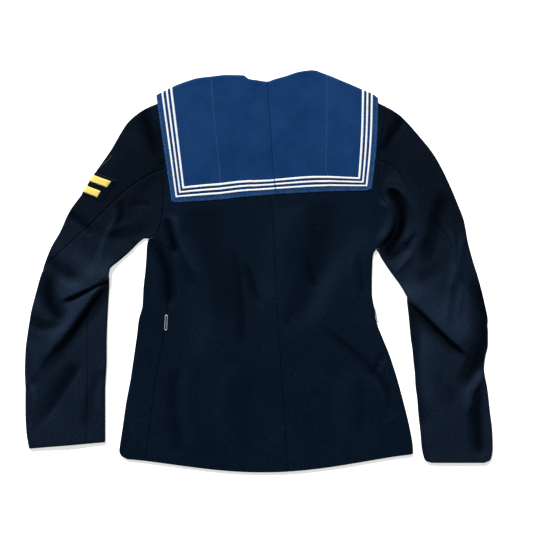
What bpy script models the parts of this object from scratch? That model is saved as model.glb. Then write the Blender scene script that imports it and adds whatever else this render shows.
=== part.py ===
"""Sailor top laid out flat on a table with its back up.

The cloth is modelled as thin walls. The body and both sleeves are flattened
tubes: the lower layer lies on the table, the upper layer lies on the lower
one with the folds of the real garment, and the sides are rounded. Seams are
narrow gaps between the panels. The square collar lies on the back, rolls
over the shoulders and runs under the fronts to the point of the V neck.

All sizes are in millimetres and become metres when the meshes are made.
X is across the garment, +Y towards the neck, +Z up, and the origin is on
the table below the middle of the whole garment.
"""
import math

import bmesh
import bpy
import numpy as np

MM = 0.001

# Driving sizes
CLOTH = 1.5            # wool serge wall
COLLAR_CLOTH = 1.2     # cotton collar wall
TRIM = 1.0             # tape, badge ground and badge bars
GAP = 0.3              # room between neighbouring pieces
LAID_HEIGHT = 6.0      # upper face of the laid cloth where it has no fold
LOWEST_TOP = 4.9       # the upper layer never dips below this
EDGE_ROUND = 4.0       # plan radius of every rounded side
FOLD_WIDTH_MIN = 11.0  # narrower flanks are left out of the solids
STEEPEST = 1.6         # limit on how much a steep wall is thickened

HEM_SAG = 26.0         # the hem hangs this much lower at its middle
HEM_SAG_POWER = 1.3
UNDERARM_ROW = 10      # row of the body where both sleeves end
UNDERARM_ROOM = 0.8    # the sleeves round off this much before the underarm
V_ROW = 6              # row of the body at the point of the V neck
CENTRE_TOP_X = 15.0    # centre back at the neckline
NECK_LEFT_X = -42.0    # where the left shoulder seam meets the neck
NECK_RIGHT_X = 89.0    # where the right shoulder seam meets the neck
SHOULDER_COLUMNS_LEFT = 7
SHOULDER_COLUMNS_RIGHT = 6
NECK_COLUMNS_LEFT = 3
NECK_COLUMNS_RIGHT = 4
STRIP_COLUMNS = 3      # front panel's strip on top, left of the side seam
SLEEVE_STATIONS = 10   # intervals across a sleeve, one for each armhole row
SEAM_SNAP = 2.2        # points closer than this to a long seam move onto it

# One row of the body from its left end to its right end.
# start: armhole, then the left edge below the underarm. seam: left side seam.
# centre: centre back. end: right armhole, then the right edge.
# rise: share of the shoulder line's curve. sag: share of the hem's curve.
BODY_ROWS = [
    # start_x, start_y, seam_x, centre_x, end_x, end_y, rise, sag
    (-187, 280, -187, 15.0, 217, 281, 1.00, 0.00),
    (-180, 258, -180, 17.0, 215, 257, 0.80, 0.00),
    (-168, 236, -168, 18.0, 210, 228, 0.60, 0.00),
    (-164, 207, -164, 18.5, 206, 199, 0.40, 0.00),
    (-161, 175, -161, 19.0, 204, 170, 0.22, 0.00),
    (-160, 143, -160, 20.0, 205, 141, 0.10, 0.00),
    (-161, 117, -161, 21.0, 216, 117, 0.03, 0.00),
    (-163, 95, -163, 22.0, 230, 94, 0.00, 0.00),
    (-168, 75, -168, 23.0, 233, 71, 0.00, 0.00),
    (-174, 61, -174, 23.5, 220, 51, 0.00, 0.00),
    (-182, 55, -182, 24.0, 203, 37, 0.00, 0.00),
    (-187, 48, -168, 24.5, 197, 31, 0.00, 0.00),
    (-188, 38, -151, 25.0, 194, 20, 0.00, 0.00),
    (-189, 26, -148, 26.0, 193, 7, 0.00, 0.00),
    (-191, 0, -149, 27.0, 192, -14, 0.00, 0.00),
    (-194, -27, -151, 28.0, 191, -36, 0.00, 0.00),
    (-195, -56, -153, 29.5, 194, -61, 0.00, 0.00),
    (-202, -82, -156, 31.0, 197, -82, 0.00, 0.03),
    (-206, -107, -159, 32.5, 206, -109, 0.00, 0.07),
    (-211, -139, -165, 35.0, 218, -137, 0.00, 0.15),
    (-217, -180, -173, 38.0, 233, -178, 0.00, 0.28),
    (-225, -223, -179, 41.0, 245, -219, 0.00, 0.45),
    (-231, -265, -184, 44.0, 255, -258, 0.00, 0.63),
    (-236, -301, -189, 46.5, 262, -292, 0.00, 0.80),
    (-231, -311, -190, 47.5, 263, -307, 0.00, 0.93),
    (-220, -318, -191, 48.0, 260, -310, 0.00, 1.00),
]

# Shoulder line and back neckline, as a rise above the line that joins the
# two shoulder tips.
TOP_LINE = [
    # x, rise
    (-187, 0.0), (-173, 5.5), (-117, 25.5), (-42, 44.5), (-28, 36.5),
    (-6, 32.5), (19, 31.5), (50, 33.5), (74, 40.5), (89, 51.5),
    (147, 30.0), (195, 10.0), (205, 5.5), (217, 0.0),
]

# Front edge of each front panel on the rows of the V neck
V_NECK = [
    # left_x, right_x
    (-42.0, 89.0), (-34.0, 80.0), (-25.0, 68.0), (-14.0, 56.0),
    (-3.0, 43.0), (9.0, 32.0), (21.0, 21.0),
]

# Sleeve sections from the armhole to the cuff. Each runs from the outer
# edge of the flattened tube to its inner edge. hind and forearm are the
# places of the two long seams round the tube: 0 is the outer edge, 0 to 1
# the upper layer, 1 the inner edge, 1 to 2 the lower layer. bow is the share
# of the armhole's curve that the section keeps.
LEFT_SLEEVE = [
    # outer_x, outer_y, inner_x, inner_y, bow, hind, forearm
    (-187, 280, -182, 55, 1.00, 0.476, 1.20),
    (-198, 274, -191, 58, 0.75, 0.484, 1.17),
    (-221, 255, -202, 51, 0.40, 0.490, 1.13),
    (-250, 207, -217, 34, 0.15, 0.440, 1.09),
    (-277, 168, -232, 20, 0.00, 0.426, 1.06),
    (-298, 134, -247, 9, 0.00, 0.385, 1.03),
    (-323, 99, -251, -5, 0.00, 0.315, 1.00),
    (-336, 70, -253, -20, 0.00, 0.219, 0.94),
    (-354, 38, -254, -39, 0.00, 0.125, 0.865),
    (-369, -3, -255, -56, 0.00, -0.010, 0.785),
    (-378, -36, -256, -75, 0.00, -0.040, 0.730),
    (-387, -71, -257, -99, 0.00, -0.045, 0.749),
    (-391, -99, -258, -121, 0.00, -0.045, 0.760),
    (-395, -136, -259, -150, 0.00, -0.045, 0.777),
    (-396, -168, -261, -179, 0.00, -0.045, 0.784),
    (-394, -198, -262, -204, 0.00, -0.045, 0.783),
    (-394, -235, -262, -235, 0.00, -0.045, 0.776),
    (-392, -270, -262, -265, 0.00, -0.045, 0.770),
    (-388, -300, -262, -289, 0.00, -0.045, 0.756),
]
RIGHT_SLEEVE = [
    # outer_x, outer_y, inner_x, inner_y, bow, hind, forearm
    (217, 281, 203, 37, 1.00, 0.380, 1.36),
    (234, 271, 206, 33, 0.92, 0.364, 1.34),
    (255, 252, 211, 27, 0.75, 0.345, 1.30),
    (274, 230, 218, 18, 0.55, 0.360, 1.25),
    (295, 204, 225, 7, 0.35, 0.380, 1.20),
    (310, 179, 232, -5, 0.18, 0.370, 1.15),
    (325, 145, 240, -19, 0.00, 0.340, 1.10),
    (338, 114, 249, -32, 0.00, 0.300, 1.05),
    (348, 87, 254, -43, 0.00, 0.290, 1.00),
    (354, 54, 255, -54, 0.00, 0.300, 0.96),
    (363, 20, 257, -71, 0.00, 0.270, 0.94),
    (374, -15, 259, -92, 0.00, 0.200, 0.94),
    (383, -51, 261, -112, 0.00, 0.110, 0.95),
    (389, -85, 264, -133, 0.00, 0.010, 0.95),
    (389, -121, 266, -155, 0.00, -0.040, 0.95),
    (385, -145, 268, -173, 0.00, -0.045, 0.95),
    (383, -165, 269, -192, 0.00, -0.045, 0.95),
    (388, -199, 272, -216, 0.00, -0.045, 0.95),
    (392, -235, 274, -241, 0.00, -0.045, 0.95),
    (396, -269, 277, -269, 0.00, -0.045, 0.95),
    (397, -299, 280, -301, 0.00, -0.045, 0.95),
    (393, -319, 286, -320, 0.00, -0.045, 0.95),
    (385, -324, 293, -324, 0.00, -0.045, 0.95),
]

HIND, FOREARM = 5, 6   # columns of the two long seams

# Largest folds of the upper layer. Each runs through three plan points. A
# positive height is a ridge and a negative one a hollow. left and right are
# the widths of its two flanks, seen along the fold from start to end.
FOLDS = [
    # start, middle, end, height, left, right
    # left sleeve: the upper arm laps over the forearm at the elbow
    ((-249, -2), (-277, -20), (-330, -46), 7.5, 5, 34),
    ((-351, -15), (-348, -44), (-334, -65), -4.0, 13, 13),
    ((-262, -30), (-300, -78), (-352, -122), 4.5, 16, 12),
    ((-254, -8), (-289, -70), (-360, -150), -3.5, 10, 10),
    ((-290, -98), (-327, -148), (-372, -204), 3.0, 14, 16),
    ((-301, -144), (-326, -185), (-369, -253), -2.5, 12, 14),
    ((-380, -122), (-378, -150), (-376, -180), 2.5, 16, 12),
    ((-240, 96), (-270, 46), (-276, -14), 2.5, 20, 16),
    ((-245, 190), (-285, 120), (-320, 50), 2.0, 30, 30),
    # right sleeve: the upper arm laps over the forearm at the elbow
    ((252, -39), (300, -94), (353, -136), 9.0, 36, 5),
    ((371, -107), (359, -153), (349, -189), -4.5, 14, 14),
    ((383, -165), (363, -204), (360, -248), 4.0, 12, 18),
    ((375, -205), (375, -235), (377, -264), -2.5, 8, 8),
    ((290, -92), (278, -173), (290, -260), 3.0, 14, 26),
    ((235, 150), (276, 80), (248, 10), 5.5, 16, 14),
    ((342, 70), (334, 17), (340, -35), 3.5, 16, 14),
    ((315, 112), (302, 76), (288, 35), -2.0, 14, 14),
    # body: underarm, armhole and hip
    ((-181, 44), (-163, 17), (-153, -34), -2.0, 12, 12),
    ((-146, 92), (-139, 63), (-139, 39), -1.5, 12, 12),
    ((-124, 102), (-130, 46), (-122, -31), 2.5, 18, 20),
    ((212, 116), (234, 84), (206, 40), 5.0, 14, 30),
    ((205, -126), (194, -141), (189, -160), 2.0, 12, 12),
    ((-101, 100), (-89, 54), (-84, 0), -1.0, 16, 18),
    ((-40, 20), (-20, -110), (10, -240), 1.5, 60, 60),
    ((110, 60), (130, -60), (120, -200), 2.0, 60, 50),
]

# Blue collar. fold is the line along which it rolls over the shoulders and
# the neck, and edge is the lower edge of the flap on the back.
COLLAR_FOLD = [
    # x, y
    (-173, 301), (-161, 307), (-143, 316), (-122, 324), (-101, 330),
    (-83, 332), (-53, 335), (-24, 334), (-10, 327), (14, 324),
    (26, 327), (47, 333), (69, 340), (92, 343), (112, 337),
    (142, 325), (177, 310), (195, 302), (203, 296),
]
COLLAR_EDGE = [
    # x, y
    (-147, 120), (-141, 118), (-63, 123), (-32, 127), (29, 132),
    (121, 137), (184, 138), (192, 141),
]
COLLAR_SIDE_BOW = 3.0     # the right side bulges this much
COLLAR_ROUND = 4.5        # plan radius of the roll
COLLAR_NECK_ROUND = 3.5   # plan radius of the roll at the back of the neck
COLLAR_NECK_INNER = 3.0   # height of the part tucked in behind the neck
COLLAR_NECK_END_Y = 299.0
COLLAR_SHOULDER = 4       # columns over each shoulder
COLLAR_NECK = 6           # columns behind the neck
COLLAR_FLAP_ROWS = 7
COLLAR_END_ROWS = 5
COLLAR_TIP_LEFT = ((6, 112), (18, 124))
COLLAR_TIP_RIGHT = ((36, 112), (24, 124))
COLLAR_RAMP = 14.0        # the fronts come down to the table over this length
COLLAR_MARGIN = 30.0      # they stay raised this far outside the front ends
FLAP_MARGIN = 18.0        # the back stays smooth this far outside the flap
COLLAR_WAVE = 1.6         # the flap's own soft waves

TAPES = [
    # name, distance from the collar's edge, width
    ("collar_tape_outer", 10.0, 4.0),
    ("collar_tape_middle", 17.0, 4.0),
    ("collar_tape_inner", 24.0, 4.6),
]
TAPE_ROLL_END = -45.0     # the tapes follow the roll down to this angle

# Badge on the left sleeve. Places run down the sleeve's outer edge from the
# middle of the raised room, and in from that edge on each side.
BADGE_TOP = 4.0           # at the point of the V
BADGE_BOTTOM = 46.0
BADGE_REACH = 37.0        # from the outer edge, on each side
BADGE_CLIMB = 0.215       # the arms climb this much for each mm of reach
BADGE_GAP = 0.4           # room below the ground and below the bars
ROOM_REACH = 44.0         # half the side of the raised room
ROOM_LIFT = 2.9           # the sleeve's rise over the badge below it
ROOM_MARGIN = 24.0        # the sleeve stays raised this far round the room
ROOM_RAMP = 26.0
CHEVRONS = [
    # name, first edge and last edge at the point of the V, reach
    ("chevron_upper", 8.0, 20.2, 30.0),
    ("chevron_lower", 29.5, 41.7, 25.5),
]

# Bent wire hooks
WIRE = 1.8
HOOK_LENGTH = 27.0
HOOK_WIDTH = 5.3
HOOK_LEFT_Y = -86.0
HOOK_RIGHT_Y = -73.0

COLOURS = {
    # linear base colour, roughness, metallic
    "serge": ((0.004, 0.008, 0.016), 0.85, 0.0),
    "collar_cotton": ((0.010, 0.045, 0.150), 0.80, 0.0),
    "white_tape": ((0.80, 0.82, 0.85), 0.75, 0.0),
    "badge_cloth": ((0.005, 0.009, 0.018), 0.85, 0.0),
    "yellow_braid": ((0.90, 0.70, 0.13), 0.65, 0.0),
    "hook_wire": ((0.30, 0.32, 0.33), 0.35, 0.9),
}


def clear_scene():
    """Remove every object of the start-up scene."""
    for thing in list(bpy.data.objects):
        bpy.data.objects.remove(thing, do_unlink=True)


def smooth_step(value):
    """Rise smoothly from 0 to 1 as the value goes from 0 to 1."""
    part = np.clip(value, 0.0, 1.0)
    return part * part * (3.0 - 2.0 * part)


def along(table, at):
    """Read a two-column table at the given places, in straight stretches."""
    columns = np.array(table, float)
    return np.interp(at, columns[:, 0], columns[:, 1])


def side_of(line, x, y):
    """Distance from a directed line, positive on its left."""
    (x0, y0), (x1, y1) = line
    length = math.hypot(x1 - x0, y1 - y0)
    return ((x1 - x0) * (y - y0) - (y1 - y0) * (x - x0)) / length


def fold_height(fold, x, y):
    """Height that one fold adds at plan points."""
    start, middle, end, height, left, right = fold
    pieces = 8
    steps = np.linspace(0.0, 1.0, pieces + 1)[:, None]
    weights = [(1 - steps) ** 2, 2 * steps * (1 - steps), steps**2]
    control = 2 * np.array(middle, float) - (np.array(start, float) + np.array(end, float)) / 2
    path = weights[0] * np.array(start) + weights[1] * control + weights[2] * np.array(end)
    best = np.full(np.shape(x), 1e9)
    place = np.zeros(np.shape(x))
    left_side = np.zeros(np.shape(x), bool)
    for index in range(pieces):
        a, b = path[index], path[index + 1]
        run = b - a
        share = ((x - a[0]) * run[0] + (y - a[1]) * run[1]) / (run @ run)
        share = np.clip(share, 0.0, 1.0)
        dx = x - (a[0] + share * run[0])
        dy = y - (a[1] + share * run[1])
        far = np.hypot(dx, dy)
        nearer = far < best
        best = np.where(nearer, far, best)
        place = np.where(nearer, (index + share) / pieces, place)
        left_side = np.where(nearer, run[0] * dy - run[1] * dx > 0, left_side)
    width = np.where(left_side, max(left, FOLD_WIDTH_MIN), max(right, FOLD_WIDTH_MIN))
    fade = smooth_step(place / 0.25) * smooth_step((1.0 - place) / 0.25)
    fade = 0.25 + 0.75 * fade
    return height * fade * np.exp(-((best / width) ** 2))


def under_flap(x, y):
    """1 under the collar's flap, 0 well outside it."""
    left = (COLLAR_FOLD[0], COLLAR_EDGE[0])
    below = (COLLAR_EDGE[0], COLLAR_EDGE[-1])
    right = (COLLAR_EDGE[-1], COLLAR_FOLD[-1])
    depth = np.minimum(side_of(left, x, y), side_of(right, x, y))
    depth = np.minimum(depth, side_of(below, x, y))
    return smooth_step((depth + FLAP_MARGIN + COLLAR_RAMP) / COLLAR_RAMP)


def badge_frame():
    """Middle of the badge's room and the direction down the sleeve."""
    upper, lower = np.array(LEFT_SLEEVE[3][:2], float), np.array(LEFT_SLEEVE[5][:2], float)
    return (upper + lower) / 2, unit(lower - upper)


def badge_room(x, y):
    """Height that the sleeve gains where the badge wraps under it."""
    middle, run = badge_frame()
    down = (x - middle[0]) * run[0] + (y - middle[1]) * run[1]
    across = (y - middle[1]) * run[0] - (x - middle[0]) * run[1]
    far = np.maximum(np.abs(down), np.abs(across)) - ROOM_REACH
    return ROOM_LIFT * smooth_step(1.0 - (far - ROOM_MARGIN) / ROOM_RAMP)


def cloth_top(x, y):
    """Height of the upper layer's face at plan points."""
    rise = sum(fold_height(fold, x, y) for fold in FOLDS)
    rise = rise * (1.0 - under_flap(x, y))
    return np.maximum(LAID_HEIGHT + rise, LOWEST_TOP) + badge_room(x, y)


def cloth_rest(x, y):
    """Height of the lower layer's underside at plan points."""
    ends_left = (COLLAR_FOLD[0], COLLAR_TIP_LEFT[0])
    ends_right = (COLLAR_TIP_RIGHT[0], COLLAR_FOLD[-1])
    inside = np.minimum(side_of(ends_left, x, y), side_of(ends_right, x, y))
    ramp = (inside + COLLAR_MARGIN + COLLAR_RAMP) / COLLAR_RAMP
    return (COLLAR_CLOTH + GAP) * smooth_step(ramp) + badge_room(x, y)


def wall_thickening(x, y):
    """How much deeper a sloping wall has to be to keep its thickness."""
    reach = 1.0
    slope_x = (cloth_top(x + reach, y) - cloth_top(x - reach, y)) / (2 * reach)
    slope_y = (cloth_top(x, y + reach) - cloth_top(x, y - reach)) / (2 * reach)
    return np.minimum(np.sqrt(1.0 + slope_x**2 + slope_y**2), STEEPEST)


def laid_points(plan, inward, distance, layer):
    """Outer and inner points of a laid wall.

    plan is where a point would be with no rounded side, inward the direction
    away from the nearest side and distance how far that side is. layer is 1
    for the upper layer and -1 for the lower one.
    """
    plan = np.atleast_2d(np.array(plan, float))
    inward = np.broadcast_to(np.array(inward, float), plan.shape)
    distance = np.broadcast_to(np.array(distance, float), plan.shape[:1])
    angle = 0.5 * math.pi * np.clip(distance / EDGE_ROUND, 0.0, 1.0)
    shift = np.where(distance < EDGE_ROUND, distance - EDGE_ROUND * (1 - np.cos(angle)), 0.0)
    spot = plan - inward * shift[:, None]
    x, y = spot[:, 0], spot[:, 1]
    top, rest = cloth_top(x, y), cloth_rest(x, y)
    half, middle = (top - rest) / 2, (top + rest) / 2
    depth = CLOTH * wall_thickening(x, y) if layer > 0 else CLOTH
    outer = np.column_stack([spot, middle + layer * half * np.sin(angle)])
    inner_plan = spot + inward * (CLOTH * np.cos(angle))[:, None]
    inner = np.column_stack([inner_plan, middle + layer * (half - depth) * np.sin(angle)])
    return outer, inner


def make_material(name):
    """Principled material in the given piece's colour."""
    material = bpy.data.materials.new(name)
    material.use_nodes = True
    shader = material.node_tree.nodes["Principled BSDF"]
    colour, roughness, metallic = COLOURS[name]
    shader.inputs["Base Color"].default_value = (*colour, 1.0)
    shader.inputs["Roughness"].default_value = roughness
    shader.inputs["Metallic"].default_value = metallic
    material.diffuse_color = (*colour, 1.0)
    return material


def make_object(name, points, faces, finish):
    """Mesh object from points in millimetres, with its faces pointing out."""
    mesh = bpy.data.meshes.new(name)
    build = bmesh.new()
    corners = [build.verts.new(np.array(point) * MM) for point in points]
    for face in faces:
        build.faces.new([corners[index] for index in face])
    bmesh.ops.recalc_face_normals(build, faces=build.faces[:])
    build.to_mesh(mesh)
    build.free()
    mesh.shade_smooth()
    mesh.set_sharp_from_angle(angle=math.radians(50))
    mesh.materials.append(make_material(finish))
    thing = bpy.data.objects.new(name, mesh)
    bpy.context.scene.collection.objects.link(thing)
    return thing


def make_wall(name, outer, inner, finish):
    """Closed wall between two grids of points.

    A place in the grids may be None, which leaves its faces out. Points that
    repeat along a row become one point.
    """
    outside, inside, numbers = [], [], []
    for outer_row, inner_row in zip(outer, inner):
        line = []
        for out_point, in_point in zip(outer_row, inner_row):
            if out_point is None:
                line.append(None)
                continue
            last = line[-1] if line else None
            if last is not None and np.allclose(out_point, outside[last], atol=1e-3):
                line.append(last)
                continue
            outside.append(out_point)
            inside.append(in_point)
            line.append(len(outside) - 1)
        numbers.append(line)
    sheet = []
    for upper, lower in zip(numbers[:-1], numbers[1:]):
        for column in range(len(upper) - 1):
            loop = [upper[column], upper[column + 1], lower[column + 1], lower[column]]
            if None in loop:
                continue
            loop = [point for index, point in enumerate(loop) if point != loop[index - 1]]
            if len(loop) == 4:
                sheet += [(loop[0], loop[1], loop[2]), (loop[0], loop[2], loop[3])]
            elif len(loop) == 3:
                sheet.append(tuple(loop))
    edges = {(face[i], face[(i + 1) % 3]) for face in sheet for i in range(3)}
    count = len(outside)
    faces = list(sheet)
    faces += [tuple(count + index for index in reversed(face)) for face in sheet]
    for start, end in edges:
        if (end, start) not in edges:
            faces.append((end, start, count + start))
            faces.append((end, count + start, count + end))
    return make_object(name, outside + inside, faces, finish)


def unit(vectors):
    """The same directions with length 1."""
    vectors = np.array(vectors, float)
    return vectors / np.linalg.norm(vectors, axis=-1, keepdims=True)


def beside(points, offset):
    """Shift a line of plan points sideways, to its left where positive."""
    points = np.array(points, float)
    run = unit(np.gradient(points, axis=0))
    offset = np.broadcast_to(offset, len(points))[:, None]
    return points + offset * np.column_stack([-run[:, 1], run[:, 0]])


def row_height(row, x):
    """Y of a body row at the given x."""
    start_x, start_y, _, _, end_x, end_y, rise, sag = BODY_ROWS[row]
    share = np.clip((x - start_x) / (end_x - start_x), 0.0, 1.0)
    line = start_y + (end_y - start_y) * share
    hang = HEM_SAG * np.sin(math.pi * share) ** HEM_SAG_POWER
    return line + rise * along(TOP_LINE, x) - sag * hang


def seam_line(column):
    """Plan points of a seam of the body, one for each row."""
    points = []
    for row, values in enumerate(BODY_ROWS):
        x = values[column]
        points.append((x, float(row_height(row, x))))
    return points


LEFT_SEAM = seam_line(2)
CENTRE_SEAM = seam_line(3)
RIGHT_SEAM = seam_line(4)
LEFT_EDGE = seam_line(0)


def body_lines(left_end, right_end, shares):
    """Plan points of every row between two seams, at shares of its length."""
    lines = []
    for row in range(len(BODY_ROWS)):
        x = left_end[row][0] + (right_end[row][0] - left_end[row][0]) * np.array(shares)
        y = row_height(row, x)
        y[0], y[-1] = left_end[row][1], right_end[row][1]
        lines.append(np.column_stack([x, y]))
    return lines


def shoulder_rows(lines, layer, shoulder):
    """Rounded rows of the shoulder seam, above the first row of a panel."""
    rows = []
    line, following = lines[0], lines[1]
    fall = (line - following)[:, 1]
    inward = unit(following - line)
    for distance in (0.0, EDGE_ROUND / 2, EDGE_ROUND):
        plan = line + (following - line) * (distance / fall)[:, None]
        outer, inner = laid_points(plan, inward, distance, layer)
        if distance == 0.0:
            outer[:, 2] += layer * GAP / 2
            inner[:, 2] += layer * GAP / 2
        if distance < EDGE_ROUND:
            outer = [point if index in shoulder else None for index, point in enumerate(outer)]
            inner = [point if index in shoulder else None for index, point in enumerate(inner)]
        rows.append((list(outer), list(inner)))
    return rows


def edge_points(edge, inward, angles, layer_gap):
    """Points round the body's side at the given angles, 90 on top."""
    outer, inner = [], []
    for angle in angles:
        distance = EDGE_ROUND * abs(angle) / 90.0
        layer = 1 if angle >= 0 else -1
        plan = np.array(edge, float) + np.array(inward) * distance
        out_point, in_point = laid_points([plan], inward, distance, layer)
        if angle == 0:
            out_point[:, 2] += layer_gap
            in_point[:, 2] += layer_gap
        outer.append(out_point[0])
        inner.append(in_point[0])
    return outer, inner


def make_back(name, left_end, right_end, shares, shoulder, round_right):
    """One back panel. round_right adds the rounded right side of the body."""
    lines = body_lines(left_end, right_end, shares)
    rows = shoulder_rows(lines, 1, shoulder)
    for line in lines[1:]:
        outer, inner = laid_points(line, (0.0, -1.0), 2 * EDGE_ROUND, 1)
        rows.append((list(outer), list(inner)))
    if round_right:
        for index, (outer, inner) in enumerate(rows):
            row = max(index - 2, 0)
            if row <= UNDERARM_ROW:
                more_out, more_in = [outer[-1]] * 2, [inner[-1]] * 2
            else:
                edge = RIGHT_SEAM[row]
                more_out, more_in = edge_points(edge, (-1.0, 0.0), (45, 0), GAP / 2)
            outer += more_out
            inner += more_in
    return make_wall(name, [row[0] for row in rows], [row[1] for row in rows], "serge")


def body_ends(line, offset, edge_side):
    """A seam line moved off its neighbour, with room for the rounded side."""
    points = beside(line, offset)
    if edge_side:
        below = np.arange(len(line)) > UNDERARM_ROW
        points[below] = np.array(line, float)[below] + np.array([edge_side * EDGE_ROUND, 0.0])
    return [tuple(point) for point in points]


def neck_shares():
    """Column places of both back panels, with one at each end of the neck."""
    first = BODY_ROWS[0]
    left_neck = (NECK_LEFT_X - first[2]) / (CENTRE_TOP_X - first[2])
    right_neck = (NECK_RIGHT_X - CENTRE_TOP_X) / (first[4] - CENTRE_TOP_X)
    left = list(np.linspace(0, left_neck, SHOULDER_COLUMNS_LEFT + 1))
    left += list(np.linspace(left_neck, 1, NECK_COLUMNS_LEFT + 1))[1:]
    right = list(np.linspace(0, right_neck, NECK_COLUMNS_RIGHT + 1))
    right += list(np.linspace(right_neck, 1, SHOULDER_COLUMNS_RIGHT + 1))[1:]
    return left, right


def make_backs():
    """Both back panels."""
    left_shares, right_shares = neck_shares()
    shoulder_left = range(SHOULDER_COLUMNS_LEFT + 1)
    shoulder_right = range(NECK_COLUMNS_RIGHT, len(right_shares))
    make_back(
        "back_left",
        body_ends(LEFT_SEAM, GAP / 2, 0),
        body_ends(CENTRE_SEAM, -GAP / 2, 0),
        left_shares,
        shoulder_left,
        False,
    )
    make_back(
        "back_right",
        body_ends(CENTRE_SEAM, GAP / 2, 0),
        body_ends(RIGHT_SEAM, -GAP / 2, -1),
        right_shares,
        shoulder_right,
        True,
    )


def front_ends(side):
    """Neckline and centre front of one front panel. side is 0 left, 1 right."""
    points = []
    away = GAP / 2 if side else -GAP / 2
    for row, values in enumerate(BODY_ROWS):
        x = V_NECK[row][side] if row < V_ROW else values[3]
        points.append((x + away, float(row_height(row, x))))
    return points


def make_front_left():
    """Left front: lies on the table and comes round the left edge."""
    ends = body_ends(LEFT_EDGE, GAP / 2, 1)
    shares = np.linspace(0, 1, SHOULDER_COLUMNS_LEFT + 1)
    lines = body_lines(ends, front_ends(0), shares)
    rows = shoulder_rows(lines, -1, range(SHOULDER_COLUMNS_LEFT + 1))
    for line in lines[1:]:
        outer, inner = laid_points(line, (0.0, -1.0), 2 * EDGE_ROUND, -1)
        rows.append((list(outer), list(inner)))
    seam = beside(LEFT_SEAM, -GAP / 2)
    extra = 4 + STRIP_COLUMNS
    whole = []
    for index, (outer, inner) in enumerate(rows):
        row = max(index - 2, 0)
        outer, inner = outer[::-1], inner[::-1]
        if row <= UNDERARM_ROW:
            outer += [outer[-1]] * extra
            inner += [inner[-1]] * extra
        else:
            more_out, more_in = edge_points(LEFT_EDGE[row], (1.0, 0.0), (-45, 0, 45, 90), 0.0)
            first = LEFT_EDGE[row][0] + EDGE_ROUND
            x = np.linspace(first, seam[row][0], STRIP_COLUMNS + 1)[1:]
            y = row_height(row, x)
            y[-1] = seam[row][1]
            strip = np.column_stack([x, y])
            strip_out, strip_in = laid_points(strip, (0.0, -1.0), 2 * EDGE_ROUND, 1)
            outer += more_out + list(strip_out)
            inner += more_in + list(strip_in)
        whole.append((outer, inner))
    return make_wall("front_left", [row[0] for row in whole], [row[1] for row in whole], "serge")


def make_front_right():
    """Right front: lies on the table up to the side seam at the right edge."""
    ends = body_ends(RIGHT_SEAM, -GAP / 2, -1)
    shares = np.linspace(0, 1, SHOULDER_COLUMNS_RIGHT + 1)
    lines = body_lines(front_ends(1), ends, shares)
    rows = shoulder_rows(lines, -1, range(SHOULDER_COLUMNS_RIGHT + 1))
    for line in lines[1:]:
        outer, inner = laid_points(line, (0.0, -1.0), 2 * EDGE_ROUND, -1)
        rows.append((list(outer), list(inner)))
    for index, (outer, inner) in enumerate(rows):
        row = max(index - 2, 0)
        if row <= UNDERARM_ROW:
            more_out, more_in = [outer[-1]] * 2, [inner[-1]] * 2
        else:
            edge = RIGHT_SEAM[row]
            more_out, more_in = edge_points(edge, (-1.0, 0.0), (-45, 0), -GAP / 2)
        outer += more_out
        inner += more_in
    return make_wall("front_right", [row[0] for row in rows], [row[1] for row in rows], "serge")


def armhole_points(side):
    """Armhole on the sleeve's side of the seam, from shoulder to underarm."""
    away = np.full(UNDERARM_ROW + 1, GAP / 2)
    away[UNDERARM_ROW - 1 :] += UNDERARM_ROOM
    if side == "left":
        return beside(LEFT_SEAM[: UNDERARM_ROW + 1], -away)
    return beside(RIGHT_SEAM[: UNDERARM_ROW + 1], away)


def section_line(side, section):
    """Plan points across one sleeve section and their places from 0 to 1."""
    table = LEFT_SLEEVE if side == "left" else RIGHT_SLEEVE
    hole = armhole_points(side)
    hole_share = (hole[0, 1] - hole[:, 1]) / (hole[0, 1] - hole[-1, 1])
    even = np.linspace(0, 1, SLEEVE_STATIONS + 1)
    mix = min(1.0, section / 2.0)
    share = hole_share * (1 - mix) + even * mix
    outer_x, outer_y, inner_x, inner_y, bow = table[section][:5]
    bow_line = hole - (hole[0] + (hole[-1] - hole[0]) * hole_share[:, None])
    outer_end, inner_end = np.array([outer_x, outer_y]), np.array([inner_x, inner_y])
    if section == 0:
        outer_end, inner_end = hole[0], hole[-1]
    plan = outer_end + (inner_end - outer_end) * share[:, None] + bow * bow_line
    return plan, share


def ring_points(side, section, places):
    """Outer and inner points of a sleeve section at places round its ring."""
    line, share = section_line(side, section)
    width = float(np.linalg.norm(line[-1] - line[0]))
    lap = np.mod(np.array(places, float), 2.0)
    layer = np.where(lap <= 1.0, 1, -1)
    across = np.where(lap <= 1.0, lap, 2.0 - lap)
    plan = np.column_stack([np.interp(across, share, line[:, axis]) for axis in (0, 1)])
    near_outer = (across < 0.5)[:, None]
    inward = np.where(near_outer, unit(line[1] - line[0]), unit(line[-2] - line[-1]))
    distance = np.minimum(across, 1.0 - across) * width
    outer, inner = np.empty((len(lap), 3)), np.empty((len(lap), 3))
    for chosen in (1, -1):
        pick = layer == chosen
        if pick.any():
            outer[pick], inner[pick] = laid_points(
                plan[pick], inward[pick], distance[pick], chosen
            )
    return outer, inner


def ring_stations(side, section):
    """Places round the ring for one turn, denser on the rounded sides."""
    line, share = section_line(side, section)
    width = float(np.linalg.norm(line[-1] - line[0]))
    small = EDGE_ROUND / width
    middle = list(share[1:-1])
    places = [-small, -small / 2, 0.0, small / 2, small]
    places += middle
    places += [1 - small, 1 - small / 2, 1.0, 1 + small / 2, 1 + small]
    places += [2 - value for value in reversed(middle)]
    return np.array(places), width


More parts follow.
